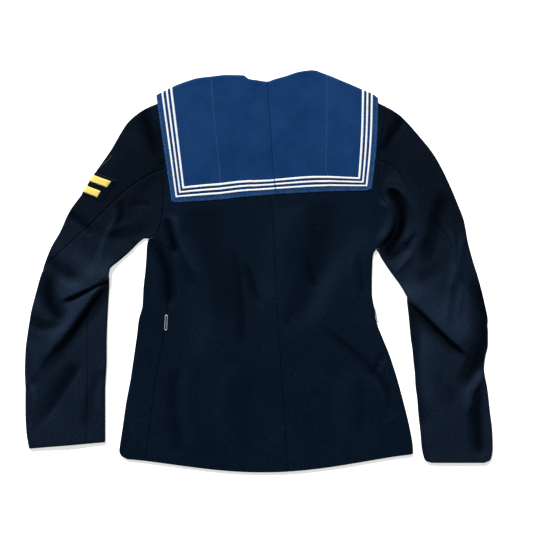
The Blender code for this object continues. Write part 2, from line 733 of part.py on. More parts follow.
def seam_room(side, section, column, width):
    """Half the gap at a long seam, as a share of the section's width.

    It is wider where the seam crosses the section at a slant or passes over
    a rounded side.
    """
    table = LEFT_SLEEVE if side == "left" else RIGHT_SLEEVE
    spots = []
    for number in (max(section - 1, 0), section, min(section + 1, len(table) - 1)):
        line, share = section_line(side, number)
        place = table[number][column]
        across = 1.0 - abs(1.0 - place % 2.0)
        spots.append([np.interp(across, share, line[:, axis]) for axis in (0, 1)])
    line, share = section_line(side, section)
    place = table[section][column]
    nearest = int(np.clip(np.searchsorted(share, 1.0 - abs(1.0 - place % 2.0)), 1, len(share) - 1))
    run = unit(np.array(spots[2]) - np.array(spots[0]))
    cross = unit(line[nearest] - line[nearest - 1])
    slant = max(abs(run[0] * cross[1] - run[1] * cross[0]), 0.35)
    from_side = abs(place - round(place)) * width
    room = GAP if from_side < 3 * EDGE_ROUND else GAP / 2
    return room / slant / width


def make_sleeve_piece(name, side, first_column, last_column):
    """One sleeve piece, between two seams round the ring."""
    table = LEFT_SLEEVE if side == "left" else RIGHT_SLEEVE
    outer_rows, inner_rows = [], []
    for section in range(len(table)):
        turn, width = ring_stations(side, section)
        places = np.concatenate([turn, turn + 2.0])
        snap = SEAM_SNAP / width
        start, end = table[section][first_column], table[section][last_column]
        if end < start:
            end += 2.0
        start += seam_room(side, section, first_column, width)
        end -= seam_room(side, section, last_column, width)
        places = np.where(places < start + snap, start, places)
        places = np.where(places > end - snap, end, places)
        outer, inner = ring_points(side, section, places)
        outer_rows.append(list(outer))
        inner_rows.append(list(inner))
    return make_wall(name, outer_rows, inner_rows, "serge")


def make_sleeves():
    """Top and under piece of both sleeves."""
    for side in ("left", "right"):
        make_sleeve_piece(f"sleeve_{side}_under", side, HIND, FOREARM)
        make_sleeve_piece(f"sleeve_{side}_top", side, FOREARM, HIND)


def collar_columns():
    """Shares across the collar, with columns at both ends of the neck."""
    first, last = COLLAR_FOLD[0][0], COLLAR_FOLD[-1][0]
    neck_left = (NECK_LEFT_X + 2 - first) / (last - first)
    neck_right = (NECK_RIGHT_X - 2 - first) / (last - first)
    shares = list(np.linspace(0, neck_left, COLLAR_SHOULDER + 1))
    shares += list(np.linspace(neck_left, neck_right, COLLAR_NECK + 1))[1:]
    shares += list(np.linspace(neck_right, 1, COLLAR_SHOULDER + 1))[1:]
    return np.array(shares)


def collar_plan(across, up):
    """Plan point of the flap: across from left to right, up from its edge."""
    across, up = np.broadcast_arrays(np.array(across, float), np.array(up, float))
    edge_x = COLLAR_EDGE[0][0] + (COLLAR_EDGE[-1][0] - COLLAR_EDGE[0][0]) * across
    fold_x = COLLAR_FOLD[0][0] + (COLLAR_FOLD[-1][0] - COLLAR_FOLD[0][0]) * across
    bow = COLLAR_SIDE_BOW * np.sin(math.pi * up) * across**6
    x = edge_x + (fold_x - edge_x) * up + bow
    edge_y, fold_y = along(COLLAR_EDGE, edge_x), along(COLLAR_FOLD, fold_x)
    return np.stack([x, edge_y + (fold_y - edge_y) * up], axis=-1)


def collar_top(across, up):
    """Height of the flap's face, with soft waves inside the tapes."""
    across, up = np.broadcast_arrays(np.array(across, float), np.array(up, float))
    margin = smooth_step((np.minimum(across, 1 - across) - 0.09) / 0.12)
    margin = margin * smooth_step((up - 0.16) / 0.2) * smooth_step((1.0 - up) / 0.25)
    wave = 0.5 + 0.5 * np.sin(2 * math.pi * (2.3 * across + 0.7 * up) + 0.6)
    return LAID_HEIGHT + GAP + COLLAR_CLOTH + COLLAR_WAVE * margin * wave


def roll_points(across, angle, extra, thickness):
    """Points on the collar's roll, 90 degrees on top and -90 below.

    extra is the distance outside the collar's own outer face.
    """
    neck_left, neck_right = collar_columns()[[COLLAR_SHOULDER, COLLAR_SHOULDER + COLLAR_NECK]]
    neck = neck_left + 1e-6 < across < neck_right - 1e-6
    radius = COLLAR_NECK_ROUND if neck else COLLAR_ROUND
    low = COLLAR_NECK_INNER if neck else 0.0
    high = float(collar_top(across, 1.0))
    half, middle = (high - low) / 2, (high + low) / 2
    spot = collar_plan(across, 1.0)
    turn = math.radians(angle)
    outer_y = spot[1] - radius + (radius + extra) * math.cos(turn)
    inner_y = outer_y - thickness * math.cos(turn)
    outer = np.array([spot[0], outer_y, middle + (half + extra) * math.sin(turn)])
    inner = np.array([spot[0], inner_y, middle + (half + extra - thickness) * math.sin(turn)])
    return outer, inner


def flap_point(across, up, extra, thickness):
    """Outer and inner point on the flap, below its roll."""
    spot = collar_plan(across, up)
    fold = collar_plan(across, 1.0)
    edge = collar_plan(across, 0.0)
    neck_left, neck_right = collar_columns()[[COLLAR_SHOULDER, COLLAR_SHOULDER + COLLAR_NECK]]
    neck = neck_left + 1e-6 < across < neck_right - 1e-6
    radius = COLLAR_NECK_ROUND if neck else COLLAR_ROUND
    spot[1] -= radius * (spot[1] - edge[1]) / (fold[1] - edge[1])
    top = float(collar_top(across, up)) + extra
    return np.array([*spot, top]), np.array([*spot, top - thickness])


def make_collar():
    """Square collar: flap, roll and front ends."""
    shares = collar_columns()
    outer_rows, inner_rows = [], []

    def add_row(pairs):
        outer_rows.append([pair[0] if pair else None for pair in pairs])
        inner_rows.append([pair[1] if pair else None for pair in pairs])

    for up in np.linspace(0, 1, COLLAR_FLAP_ROWS + 1):
        add_row([flap_point(share, up, 0.0, COLLAR_CLOTH) for share in shares])
    for angle in (45, 0, -45, -90):
        add_row([roll_points(share, angle, 0.0, COLLAR_CLOTH) for share in shares])
    count = len(shares)
    for step in range(1, COLLAR_END_ROWS + 1):
        pairs = []
        for column, share in enumerate(shares):
            start, _ = roll_points(share, -90, 0.0, COLLAR_CLOTH)
            if COLLAR_SHOULDER < column < count - 1 - COLLAR_SHOULDER:
                if step > 1:
                    pairs.append(None)
                    continue
                point = np.array([start[0], COLLAR_NECK_END_Y, start[2]])
            else:
                left = column <= COLLAR_SHOULDER
                outside, inside = COLLAR_TIP_LEFT if left else COLLAR_TIP_RIGHT
                along_end = column if left else count - 1 - column
                tip = np.array(outside) + (np.array(inside) - np.array(outside)) * (
                    along_end / COLLAR_SHOULDER
                )
                part = step / COLLAR_END_ROWS
                point = np.array([*(start[:2] * (1 - part) + tip * part), start[2]])
            pairs.append((point, point + np.array([0.0, 0.0, COLLAR_CLOTH])))
        add_row(pairs)
    return make_collar_wall(outer_rows, inner_rows)


def make_collar_wall(outer_rows, inner_rows):
    """Collar wall, open between the neck strip and the two front ends."""
    first_end_row = COLLAR_FLAP_ROWS + 5
    left_cut = COLLAR_SHOULDER
    right_cut = COLLAR_SHOULDER + COLLAR_NECK

    def spread(rows):
        wide = []
        for index, row in enumerate(rows):
            gap_columns = index >= first_end_row
            line = list(row[: left_cut + 1])
            line.append(None if gap_columns else row[left_cut])
            line += row[left_cut + 1 : right_cut]
            line.append(None if gap_columns else row[right_cut])
            line += row[right_cut:]
            wide.append(line)
        return wide

    return make_wall("collar", spread(outer_rows), spread(inner_rows), "collar_cotton")


def tape_lines(distance, width):
    """Both long edges of a tape as lists of (across, up) on the flap."""
    lines = []
    for offset in (distance - width / 2, distance + width / 2):
        flap_width = 355.0
        flap_height = 192.0
        side, low = offset / flap_width, offset / flap_height
        uprights = np.linspace(1.0, 0.2, 7)
        bottoms = np.linspace(0.12, 0.88, 12)
        line = [(side, up) for up in uprights]
        line.append((side, low))
        line += [(across, low) for across in bottoms]
        line.append((1 - side, low))
        line += [(1 - side, up) for up in reversed(uprights)]
        lines.append(line)
    return lines


def make_tapes():
    """Three white tapes that lie on the collar and follow its roll."""
    extra = GAP + TRIM
    roll_angles = [TAPE_ROLL_END, 0, 45]
    for name, distance, width in TAPES:
        outer_rows, inner_rows = [], []
        for line in tape_lines(distance, width):
            pairs = [roll_points(line[0][0], angle, extra, TRIM) for angle in roll_angles]
            pairs += [flap_point(across, up, extra, TRIM) for across, up in line]
            pairs += [roll_points(line[-1][0], angle, extra, TRIM) for angle in reversed(roll_angles)]
            outer_rows.append([pair[0] for pair in pairs])
            inner_rows.append([pair[1] for pair in pairs])
        make_wall(name, outer_rows, inner_rows, "white_tape")


def badge_place(down, reach):
    """Section of the left sleeve and share of its width at a badge place."""
    middle, run = badge_frame()
    edge = np.array([row[:2] for row in LEFT_SLEEVE[2:8]], float)
    steps = (edge - middle) @ run
    spot = np.array([np.interp(down, steps, edge[:, axis]) for axis in (0, 1)])
    spot = spot + np.array([-run[1], run[0]]) * reach
    table = np.array([row[:4] for row in LEFT_SLEEVE], float)
    low, high = 2.0, 7.0
    for _ in range(24):
        section = (low + high) / 2
        ends = [np.interp(section, range(len(table)), column) for column in table.T]
        if side_of((ends[:2], ends[2:]), *spot) > 0:
            high = section
        else:
            low = section
    width = math.hypot(ends[2] - ends[0], ends[3] - ends[1])
    return section, math.hypot(spot[0] - ends[0], spot[1] - ends[1]) / width


def badge_point(down, place, extra, thickness):
    """Outer and inner point moved out from the left sleeve's face."""
    section, share = badge_place(down, abs(place))
    whole = int(math.floor(section))
    part = section - whole
    outer, inner = [], []
    for number in (whole, whole + 1):
        out_point, in_point = ring_points("left", number, [math.copysign(share, place)])
        outward = unit(out_point[0] - in_point[0])
        outer.append(out_point[0] + outward * (extra + thickness))
        inner.append(out_point[0] + outward * extra)
    return (
        outer[0] * (1 - part) + outer[1] * part,
        inner[0] * (1 - part) + inner[1] * part,
    )


def make_badge_cloth(name, downs, reaches, extra, slot):
    """One V-shaped cloth of the badge, wrapped round the sleeve's edge."""
    outer_rows, inner_rows = [], []
    for down in downs:
        pairs = [
            badge_point(down - BADGE_CLIMB * abs(reach), reach, extra, TRIM)
            for reach in reaches
        ]
        outer_rows.append([pair[0] for pair in pairs])
        inner_rows.append([pair[1] for pair in pairs])
    make_wall(name, outer_rows, inner_rows, slot)


def make_badge():
    """Dark ground and two V bars on the left sleeve."""
    bends = [-12.0, -3.0, -1.5, 0.0, 1.5, 3.0, 12.0]
    ground = [-BADGE_REACH, -24.0, *bends, 24.0, BADGE_REACH]
    downs = np.linspace(BADGE_TOP, BADGE_BOTTOM, 7)
    make_badge_cloth("badge_patch", downs, ground, BADGE_GAP, "badge_cloth")
    for name, first, last, reach in CHEVRONS:
        arms = [-reach, -20.0, *bends, 20.0, reach]
        downs = (first, (first + last) / 2, last)
        make_badge_cloth(name, downs, arms, 2 * BADGE_GAP + TRIM, "yellow_braid")


def make_hook(name, centre, long_axis, wide_axis):
    """Closed hairpin of round wire."""
    radius = (HOOK_WIDTH - WIRE) / 2
    straight = (HOOK_LENGTH - HOOK_WIDTH) / 2
    long_axis = np.array(long_axis, float) / np.linalg.norm(long_axis)
    wide_axis = np.array(wide_axis, float)
    wide_axis -= long_axis * (wide_axis @ long_axis)
    wide_axis /= np.linalg.norm(wide_axis)
    third = np.cross(long_axis, wide_axis)
    bends, sides = 6, 6
    spine = []
    for end in (1, -1):
        for step in range(bends + 1):
            turn = math.pi * step / bends
            out = end * (long_axis * math.sin(turn) + wide_axis * math.cos(turn))
            spine.append((np.array(centre) + end * straight * long_axis + radius * out, out))
    points, faces = [], []
    for spot, out in spine:
        for side in range(sides):
            angle = 2 * math.pi * side / sides
            points.append(spot + WIRE / 2 * (out * math.cos(angle) + third * math.sin(angle)))
    rings = len(spine)
    for ring in range(rings):
        for side in range(sides):
            here, there = ring * sides, (ring + 1) % rings * sides
            after = (side + 1) % sides
            faces.append((here + side, here + after, there + after, there + side))
    return make_object(name, points, faces, "hook_wire")


def make_hooks():
    """Hooks at the waist: flat on the left seam, on edge at the right side."""
    y_of = [point[1] for point in LEFT_SEAM]
    left_x = float(np.interp(-HOOK_LEFT_Y, [-y for y in y_of], [point[0] for point in LEFT_SEAM]))
    spots = np.array([[left_x + dx, HOOK_LEFT_Y + dy] for dx in (-4, 0, 4) for dy in (-14, 0, 14)])
    height = float(cloth_top(spots[:, 0], spots[:, 1]).max())
    make_hook("belt_hook_left", (left_x, HOOK_LEFT_Y, height + GAP + WIRE / 2), (0.05, 1, 0), (1, 0, 0))
    right = np.array(RIGHT_SEAM)
    ends = [float(np.interp(-(HOOK_RIGHT_Y + dy), -right[:, 1], right[:, 0])) for dy in (-13.5, 13.5)]
    slant = (ends[1] - ends[0]) / 27.0
    middle = float(np.interp(-HOOK_RIGHT_Y, -right[:, 1], right[:, 0]))
    out = middle + 2 * GAP + WIRE / 2
    centre = (out, HOOK_RIGHT_Y, LAID_HEIGHT / 2 + GAP)
    make_hook("belt_hook_right", centre, (slant, 1, 0), (0, 0, 1))


def main():
    clear_scene()
    make_backs()
    make_front_left()
    make_front_right()
    make_sleeves()
    make_collar()
    make_tapes()
    make_badge()
    make_hooks()


main()
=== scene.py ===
import math

import bmesh
import bpy
import numpy as np
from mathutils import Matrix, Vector


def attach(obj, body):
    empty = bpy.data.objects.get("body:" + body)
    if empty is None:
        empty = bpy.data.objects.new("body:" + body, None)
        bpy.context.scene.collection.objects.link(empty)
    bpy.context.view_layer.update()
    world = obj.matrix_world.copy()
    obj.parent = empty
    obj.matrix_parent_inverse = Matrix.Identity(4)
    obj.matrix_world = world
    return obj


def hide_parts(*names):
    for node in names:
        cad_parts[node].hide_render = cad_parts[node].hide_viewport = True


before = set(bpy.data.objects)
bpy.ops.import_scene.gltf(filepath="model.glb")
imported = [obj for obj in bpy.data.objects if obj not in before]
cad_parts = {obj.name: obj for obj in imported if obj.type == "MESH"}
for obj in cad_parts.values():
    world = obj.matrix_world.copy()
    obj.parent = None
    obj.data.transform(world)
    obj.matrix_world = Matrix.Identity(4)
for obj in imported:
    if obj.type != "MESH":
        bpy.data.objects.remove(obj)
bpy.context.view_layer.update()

# The laid top is made again at a finer pitch on the form of the solids:
# the same seams, sections and folds in millimetres, with finer creases,
# seam grooves, stitches and woven materials.

MM = 0.001
BODY = "root"

# Cloth and layers, as in the solids
CLOTH = 1.5
COLLAR_CLOTH = 1.2
TRIM = 1.0
GAP = 0.3
LAID_HEIGHT = 6.0
LOWEST_TOP = 4.0
LOWEST_SOFT = 0.7      # hollows level off softly above the lowest height
HIGHEST_TOP = 17.0
HIGHEST_SOFT = 1.0     # and crests below the highest one
FOLD_FADE = 0.28
WIDE_FLANK = 30.0      # wider folds are fullness, with no painted light on crests and no painted shade in hollows
# painted light and shade of the upper layer: none below this height, and the painted light on crests
# is capped
SHADE_RELIEF_FROM = 1.8
CREST_LIGHT_CAP = 2.5
EDGE_ROUND = 4.0
INSIDE = 2 * EDGE_ROUND    # any distance past the rounded edge
STEEPEST = 1.7
FOLD_STEP = 0.45           # step along a fold, in widths of its flank
FOLD_LEAST = 9
FOLD_POINTS = 13
FOLD_REACH = 3.0           # a fold is level this many widths away
SLOPE_STEP = 1.0
LEAST_RADIUS = 1e-3
LEAST_LENGTH = 1e-9
MAP_MARGIN = 1e-3          # keeps places inside the last cell of a map
LEAST_HOLLOW = 0.1
TURN_SHARE = 0.6           # the inner face turns in by this share of the radius
FAR = 1e3                  # beyond any piece
NEARLY_ZERO = 1e-6

# Pitch of the fine meshes
BODY_PITCH = 3.2
UNDER_PITCH = 6.0
SLEEVE_PITCH = 3.0
SPREAD_STEPS = 700
END_GAIN = 5.0             # points lie closer together near a panel's ends
END_WIDTH = 3.0
SEAM_GAIN = 4.0            # near a seam
SIDE_GAIN = 2.2            # and where a sleeve turns under
SIDE_WIDTH = 4.5
END_COLUMNS = 14
STRIP_COLUMNS = 24
COUNT_ABOVE = 96
COUNT_BELOW = 135
COUNT_START = 12
QUARTER_TURN = 8
HALF_TURN = 15
SHOULDER_ROW = 6
SHOULDER_STEPS = 6
STATION_COUNT = 120
EDGE_STATION = 8
SECTIONS_PER_ROW = 7.5
SLEEVE_SPARE = 1.35
SLEEVE_EXTRA = 16
WELD = 2e-5                # metres
SLIVER = 1e-6              # metres
SHARP_ANGLE = 60.0

# Seams, hems and armholes
SEAM_DEPTH = 0.9
SEAM_WIDTH = 1.5
SEAM_MEET = 0.142          # inner faces nearly meet, so that no light falls through
HOLE_MEET = 0.18
UNDER_SEAM_DEPTH = 0.5
DEEPEST_GROOVE = 1.1
HEM_DEPTH = 0.6
HEM_WIDTH = 1.0

HEM_SAG = 26.0
HEM_SAG_POWER = 1.3
UNDERARM_ROW = 10
V_ROW = 6
UNDERARM_ROOM = 0.02
UNDERARM_REACH = 2.0
UNDERARM_RAMP = 1.5
ROUND_ROWS = 0.8
STRIP_SHARE = 0.45
HOLE_SECTIONS = 2.0
NECK_LEFT_X = -42.0
NECK_RIGHT_X = 89.0

BODY_ROWS = [
    # start_x, start_y, seam_x, centre_x, end_x, end_y, rise, sag
    (-187, 280, -187, 18.5, 217, 281, 1.00, 0.00),
    (-180, 258, -180, 20.5, 215, 257, 0.80, 0.00),
    (-168, 236, -168, 21.5, 210, 228, 0.60, 0.00),
    (-164, 207, -164, 22, 206, 199, 0.40, 0.00),
    (-161, 175, -161, 22.5, 204, 170, 0.22, 0.00),
    (-160, 143, -160, 23.5, 205, 141, 0.10, 0.00),
    (-161, 117, -161, 24.5, 216, 117, 0.03, 0.00),
    (-163, 95, -163, 25.5, 230, 94, 0.00, 0.00),
    (-168, 75, -168, 26.5, 233, 71, 0.00, 0.00),
    (-175, 62, -175, 27, 219, 52, 0.00, 0.00),
    (-186.5, 56, -186.5, 27.5, 199.5, 37.5, 0.00, 0.00),
    (-189, 48, -170, 28, 195.6, 31, 0.00, 0.00),
    (-190, 38, -148.5, 28.5, 194, 20, 0.00, 0.00),
    (-190.5, 26, -149, 29.5, 193.5, 7, 0.00, 0.00),
    (-192.5, 0, -149, 30.5, 193, -14, 0.00, 0.00),
    (-195.5, -27, -151, 31.5, 193, -36, 0.00, 0.00),
    (-197, -56, -153, 33, 197, -61, 0.00, 0.00),
    (-203.5, -82, -156, 34.5, 200, -82, 0.00, 0.03),
    (-206.5, -107, -159, 36, 210, -109, 0.00, 0.07),
    (-211, -139, -165, 38.5, 221.5, -137, 0.00, 0.15),
    (-217, -180, -173, 41.5, 235, -178, 0.00, 0.28),
    (-225, -223, -179, 44.5, 246.2, -219, 0.00, 0.45),
    (-231, -265, -184, 47.5, 255.8, -258, 0.00, 0.63),
    (-236.5, -303, -189, 50, 262, -292, 0.00, 0.80),
    (-233.5, -311.5, -190, 51, 263, -307, 0.00, 0.93),
    (-223, -318, -191, 51.5, 260, -310, 0.00, 1.00),
]

TOP_LINE = [
    # x, rise above the line between the shoulder tips
    (-187, 0.0), (-173, 5.5), (-117, 25.5), (-42, 44.5), (-28, 36.5),
    (-6, 32.5), (19, 31.5), (50, 33.5), (74, 40.5), (89, 51.5),
    (147, 30.0), (195, 10.0), (205, 5.5), (217, 0.0),
]

V_NECK = [
    # left_x, right_x
    (-42.0, 89.0), (-34.0, 80.0), (-25.0, 68.0), (-14.0, 56.0),
    (-3.0, 43.0), (9.0, 32.0), (21.0, 21.0),
]

LEFT_SLEEVE = [
    # outer_x, outer_y, inner_x, inner_y, bow, hind, forearm
    (-187, 280, -186.5, 56, 1.00, 0.476, 1.20),
    (-198, 274, -193, 57, 0.75, 0.484, 1.17),
    (-221, 255, -202, 51, 0.40, 0.490, 1.13),
    (-250, 207, -219, 34, 0.15, 0.440, 1.09),
    (-277, 168, -235, 20, 0.00, 0.426, 1.06),
    (-298, 134, -252, 4, 0.00, 0.385, 1.03),
    (-323, 99, -253, -8, 0.00, 0.315, 1.00),
    (-336, 70, -253, -20, 0.00, 0.219, 0.94),
    (-354, 38, -254, -39, 0.00, 0.125, 0.865),
    (-369, -3, -255, -56, 0.00, -0.010, 0.785),
    (-378, -36, -256, -75, 0.00, -0.040, 0.730),
    (-387, -71, -257, -99, 0.00, -0.045, 0.749),
    (-391.5, -99, -257.5, -121, 0.00, -0.045, 0.760),
    (-396, -136, -257.5, -150, 0.00, -0.045, 0.777),
    (-397, -168, -259, -179, 0.00, -0.045, 0.784),
    (-396, -198, -260, -204, 0.00, -0.045, 0.783),
    (-396, -235, -260, -235, 0.00, -0.045, 0.776),
    (-394.5, -270, -260, -265, 0.00, -0.045, 0.770),
    (-390, -300, -260, -289, 0.00, -0.045, 0.756),
]
RIGHT_SLEEVE = [
    # outer_x, outer_y, inner_x, inner_y, bow, hind, forearm
    (217, 281, 199.5, 37.5, 1.00, 0.380, 1.36),
    (240, 267, 203.4, 34, 0.92, 0.364, 1.34),
    (255, 252, 206.8, 27, 0.75, 0.345, 1.30),
    (274, 230, 212.4, 18, 0.55, 0.360, 1.25),
    (295, 204, 219.6, 7, 0.35, 0.380, 1.20),
    (310, 179, 228.2, -5, 0.18, 0.370, 1.15),
    (326.3, 145, 238.6, -19, 0.00, 0.340, 1.10),
    (339.3, 114, 246.6, -32, 0.00, 0.300, 1.05),
    (349.3, 87, 251.6, -43, 0.00, 0.262, 1.00),
    (355.3, 54, 252.6, -54, 0.00, 0.235, 0.96),
    (364.3, 20, 254.6, -71, 0.00, 0.215, 0.94),
    (375.3, -15, 256.6, -92, 0.00, 0.170, 0.94),
    (384.3, -51, 258.6, -112, 0.00, 0.110, 0.95),
    (390.3, -85, 261.6, -133, 0.00, 0.010, 0.95),
    (390.3, -121, 263.6, -155, 0.00, -0.040, 0.95),
    (385.6, -145, 265.6, -173, 0.00, -0.045, 0.95),
    (383.6, -165, 266.6, -192, 0.00, -0.045, 0.95),
    (389.3, -199, 269.6, -216, 0.00, -0.045, 0.95),
    (393.3, -235, 271.6, -241, 0.00, -0.045, 0.95),
    (397.3, -269, 274.6, -269, 0.00, -0.045, 0.95),
    (398.3, -299, 277.6, -301, 0.00, -0.045, 0.95),
    (394.3, -319, 283.6, -320, 0.00, -0.045, 0.95),
    (385, -324, 293, -324, 0.00, -0.045, 0.95),
]
HIND, FOREARM = 5, 6

# Folds of the upper layer: a curve through three plan points, the height of
# its crest (negative for a hollow) and the widths of its flanks, left and
# right of it as one walks from start to end.
FOLDS = [
    # start, middle, end, height, left, right
    # left sleeve: fullness
    ((-228, 205), (-300, 70), (-318, -40), 3.0, 34, 34),
    ((-322, -60), (-326, -180), (-326, -300), 3.2, 36, 36),
    # left sleeve: elbow overlap and the pleats below it
    ((-222, 14), (-287, -26), (-346, -52), 6.8, 2.6, 26),
    ((-226, 6), (-286, -31), (-340, -54), -2.6, 5, 2.6),
    ((-240, 12), (-296, -66), (-366, -166), 8.4, 9, 22),
    ((-248, -8), (-306, -90), (-382, -184), -7.8, 14, 6),
    ((-300, -152), (-330, -200), (-386, -277), -5.6, 5, 14),
    ((-352, -8), (-357, -44), (-332, -78), -10.0, 11, 11),
    ((-376, -4), (-378, -40), (-370, -70), 2.2, 9, 9),
    ((-388, -80), (-366, -92), (-336, -88), -6.0, 8, 8),
    ((-388, -126), (-376, -140), (-374, -176), 2.5, 9, 9),
    ((-396, -186), (-384, -198), (-376, -222), 2.5, 6, 6),
    ((-374, -182), (-392, -196), (-402, -206), -2.2, 6, 6),
    ((-262, -170), (-280, -201), (-292, -262), -2.5, 8, 8),
    ((-254, -150), (-268, -180), (-272, -240), 1.1, 6, 6),
    ((-334, -92), (-342, -106), (-348, -124), 1.0, 3, 3),
    # left sleeve: upper arm
    ((-240, 92), (-264, 46), (-277, -14), 3.6, 13, 3.5),
    ((-232, 116), (-231, 100), (-236, 82), -4.5, 5, 5),
    ((-246, 104), (-243, 92), (-240, 84), 1.7, 4, 4),
    ((-252, 58), (-228, 62), (-192, 72), -3.6, 10, 10),
    ((-216, 52), (-210, 48), (-204, 44), -2.1, 4, 4),
    ((-219, 112), (-202, 115), (-184, 113), -1.4, 4, 4),
    ((-197, 272), (-186, 241), (-176, 200), -6.4, 9, 9),
    ((-321, 98), (-304, 85), (-284, 66), -3.4, 6, 6),
    ((-362, 26), (-338, 6), (-306, -16), -5.6, 10, 10),
    ((-312, 30), (-296, 10), (-286, -14), 2.5, 12, 12),
    # right sleeve: fullness
    ((262, 205), (316, 80), (322, -40), 3.0, 34, 34),
    ((326, -70), (334, -180), (340, -300), 3.2, 36, 36),
    # right sleeve: elbow overlap, flap and hollows
    ((228, -20), (298, -87), (364, -148), 9.0, 28, 3.0),
    ((240, -32), (303, -101), (356, -149), -6.0, 4, 11),
    ((352, -10), (354, -80), (351, -128), 5.0, 7, 22),
    ((372, -20), (382, -105), (350, -188), -9.5, 13, 13),
    ((262, -70), (270, -150), (280, -256), -3.5, 9, 9),
    ((336, 8), (324, -40), (318, -84), 2.5, 6, 6),
    ((344, -26), (341, -50), (339, -72), 1.7, 4, 4),
    ((308, 12), (291, -3), (276, -16), -3.1, 12, 12),
    ((384, -162), (368, -201), (360, -248), 6.4, 5, 14),
    ((372, -200), (370, -245), (374, -304), -10.0, 10, 10),
    ((290, -90), (276, -170), (289, -252), 3.6, 22, 8),
    ((324, -197), (328, -212), (326, -231), -2.5, 8, 8),
    ((300, -180), (312, -200), (310, -230), -1.1, 8, 8),
    # right sleeve: armhole pocket, ridge and troughs
    ((228, 150), (262, 92), (246, 20), 3.0, 22, 22),
    ((224, 136), (245, 92), (216, 34), -15.0, 7.5, 7.5),
    ((220, 148), (264, 104), (276, 46), 6.4, 13, 13),
    ((266, 62), (258, 50), (250, 36), -4.2, 5, 5),
    ((248, 46), (234, 31), (218, 24), -7.0, 8, 8),
    ((258, 30), (248, 16), (234, 2), 2.5, 5, 5),
    ((313, 124), (303, 88), (286, 20), -5.9, 11, 11),
    ((326, 66), (332, 20), (322, -30), 2.7, 5, 5),
    ((349, 60), (340, 20), (336, -26), 2.2, 5, 5),
    ((244, 262), (224, 231), (206, 208), -6.0, 7, 7),
    ((221, 148), (234, 146), (244, 139), -1.8, 3, 3),
    # body: bulge at the right armhole, hollow and ridge at the left one
    ((213, 122), (226, 88), (206, 50), 5.0, 8, 8),
    ((-176, 46), (-157, 4), (-152, -50), -7.0, 9, 9),
    ((-154, 86), (-147, 60), (-142, 36), -10.0, 6, 6),
    ((-158, 104), (-130, 42), (-92, -30), 4.8, 18, 7),
    ((-124, 84), (-118, 30), (-112, -20), -1.7, 14, 14),
    # body: pressed creases and soft waves
    ((-101, 102), (-80, 30), (-50, -80), -2.8, 26, 26),
    ((-80, -10), (-96, -90), (-90, -150), 2.0, 26, 26),
    ((-40, 46), (-27, -53), (-27, -140), -3.6, 2.6, 9),
    ((-20, 18), (-9, -19), (5, -62), -3.6, 2.6, 8),
    ((78, 44), (90, 0), (102, -26), -3.2, 2.6, 8),
    ((57, -66), (52, -80), (47, -96), -1.5, 4, 4),
    ((112, 108), (90, -20), (62, -76), -2.8, 20, 20),
    ((184, 56), (118, -40), (84, -92), 3.4, 26, 26),
    ((108, -94), (166, -138), (212, -186), -3.4, 2.8, 9),
    ((169, 30), (176, 0), (178, -34), -1.7, 4, 4),
    ((158, 20), (160, -10), (166, -40), 1.1, 4, 4),
    ((212, -144), (203, -158), (192, -173), -4.2, 5, 5),
    ((216, -148), (212, -156), (204, -168), 2.5, 4, 4),
    ((203, -176), (213, -188), (220, -206), -3.8, 5, 5),
    ((200, -188), (208, -204), (214, -224), 1.4, 5, 5),
    ((222, -204), (224, -218), (220, -236), -2.0, 5, 5),
    ((217, -258), (225, -252), (239, -245), 1.4, 4, 4),
    ((-139, -176), (-146, -223), (-134, -304), -2.5, 8, 8),
    ((-118, -170), (-124, -223), (-112, -300), 1.3, 9, 9),
    ((-36, -167), (-62, -215), (-56, -290), 1.4, 12, 12),
    ((-8, -180), (-24, -240), (-16, -310), -1.0, 12, 12),
    ((150, -180), (140, -230), (150, -290), 1.3, 14, 14),
    ((170, -190), (176, -240), (172, -280), -1.1, 8, 8),
    ((-205, -140), (-214, -200), (-208, -290), 1.1, 8, 8),
    ((-40, 20), (-20, -110), (10, -240), 1.0, 50, 50),
    ((60, 100), (30, 20), (30, -60), 2.0, 24, 24),
]

COLLAR_FOLD = [
    # x, y
    (-173, 301), (-161, 307), (-143, 316), (-122, 324), (-101, 330),
    (-83, 332), (-53, 335), (-25, 334), (-16, 328), (-3, 326), (15, 323.5),
    (26, 327), (47, 333), (69, 340), (92, 343), (112, 337),
    (142, 325), (177, 310), (195, 302), (203, 296),
]
COLLAR_EDGE = [
    # x, y
    (-147, 120), (-141, 118), (-63, 123), (-32, 127), (29, 132),
    (121, 137), (184, 138), (192, 141),
]
COLLAR_SIDE_BOW = 3.0
COLLAR_BOW_POWER = 6
NECK_INSET = 2.0
NECK_RAMP = 10.0
FLAP_WIDTH = 355.0
FLAP_DEPTH = 192.0
COLLAR_ROUND = 4.5
COLLAR_NECK_ROUND = 3.5
COLLAR_NECK_INNER = 3.0
COLLAR_TIP_LEFT = ((6, 112), (18, 124))
COLLAR_TIP_RIGHT = ((36, 112), (24, 124))
COLLAR_RAMP = 14.0
COLLAR_MARGIN = 30.0
FLAP_MARGIN = 18.0
COLLAR_WAVE = 1.4
WAVE_SIDE = 0.09           # the waves start inside the tapes, in shares of the flap
WAVE_SIDE_RAMP = 0.12
WAVE_LOW = 0.16
WAVE_LOW_RAMP = 0.2
WAVE_TOP_RAMP = 0.25
WAVES_ACROSS = 2.3
WAVES_UP = 0.7
WAVE_START = 0.6
CREASE_RAMP = 0.08
FLAP_LIFT = 0.1
COLLAR_COLUMNS = 150
COLLAR_ROWS = 80
COLLAR_END_ROWS = 40
ROLL_STEPS = 15
MARGIN_LINES = [0.4, 1.0, 2.0]
LOW_LINES = [0.002, 0.006, 0.012]
COLLAR_EDGE_DEPTH = 0.5
COLLAR_EDGE_WIDTH = 0.9
UNDER_TAPE = 0.35          # the front ends are raised this much for their tapes
END_EASE = 0.1

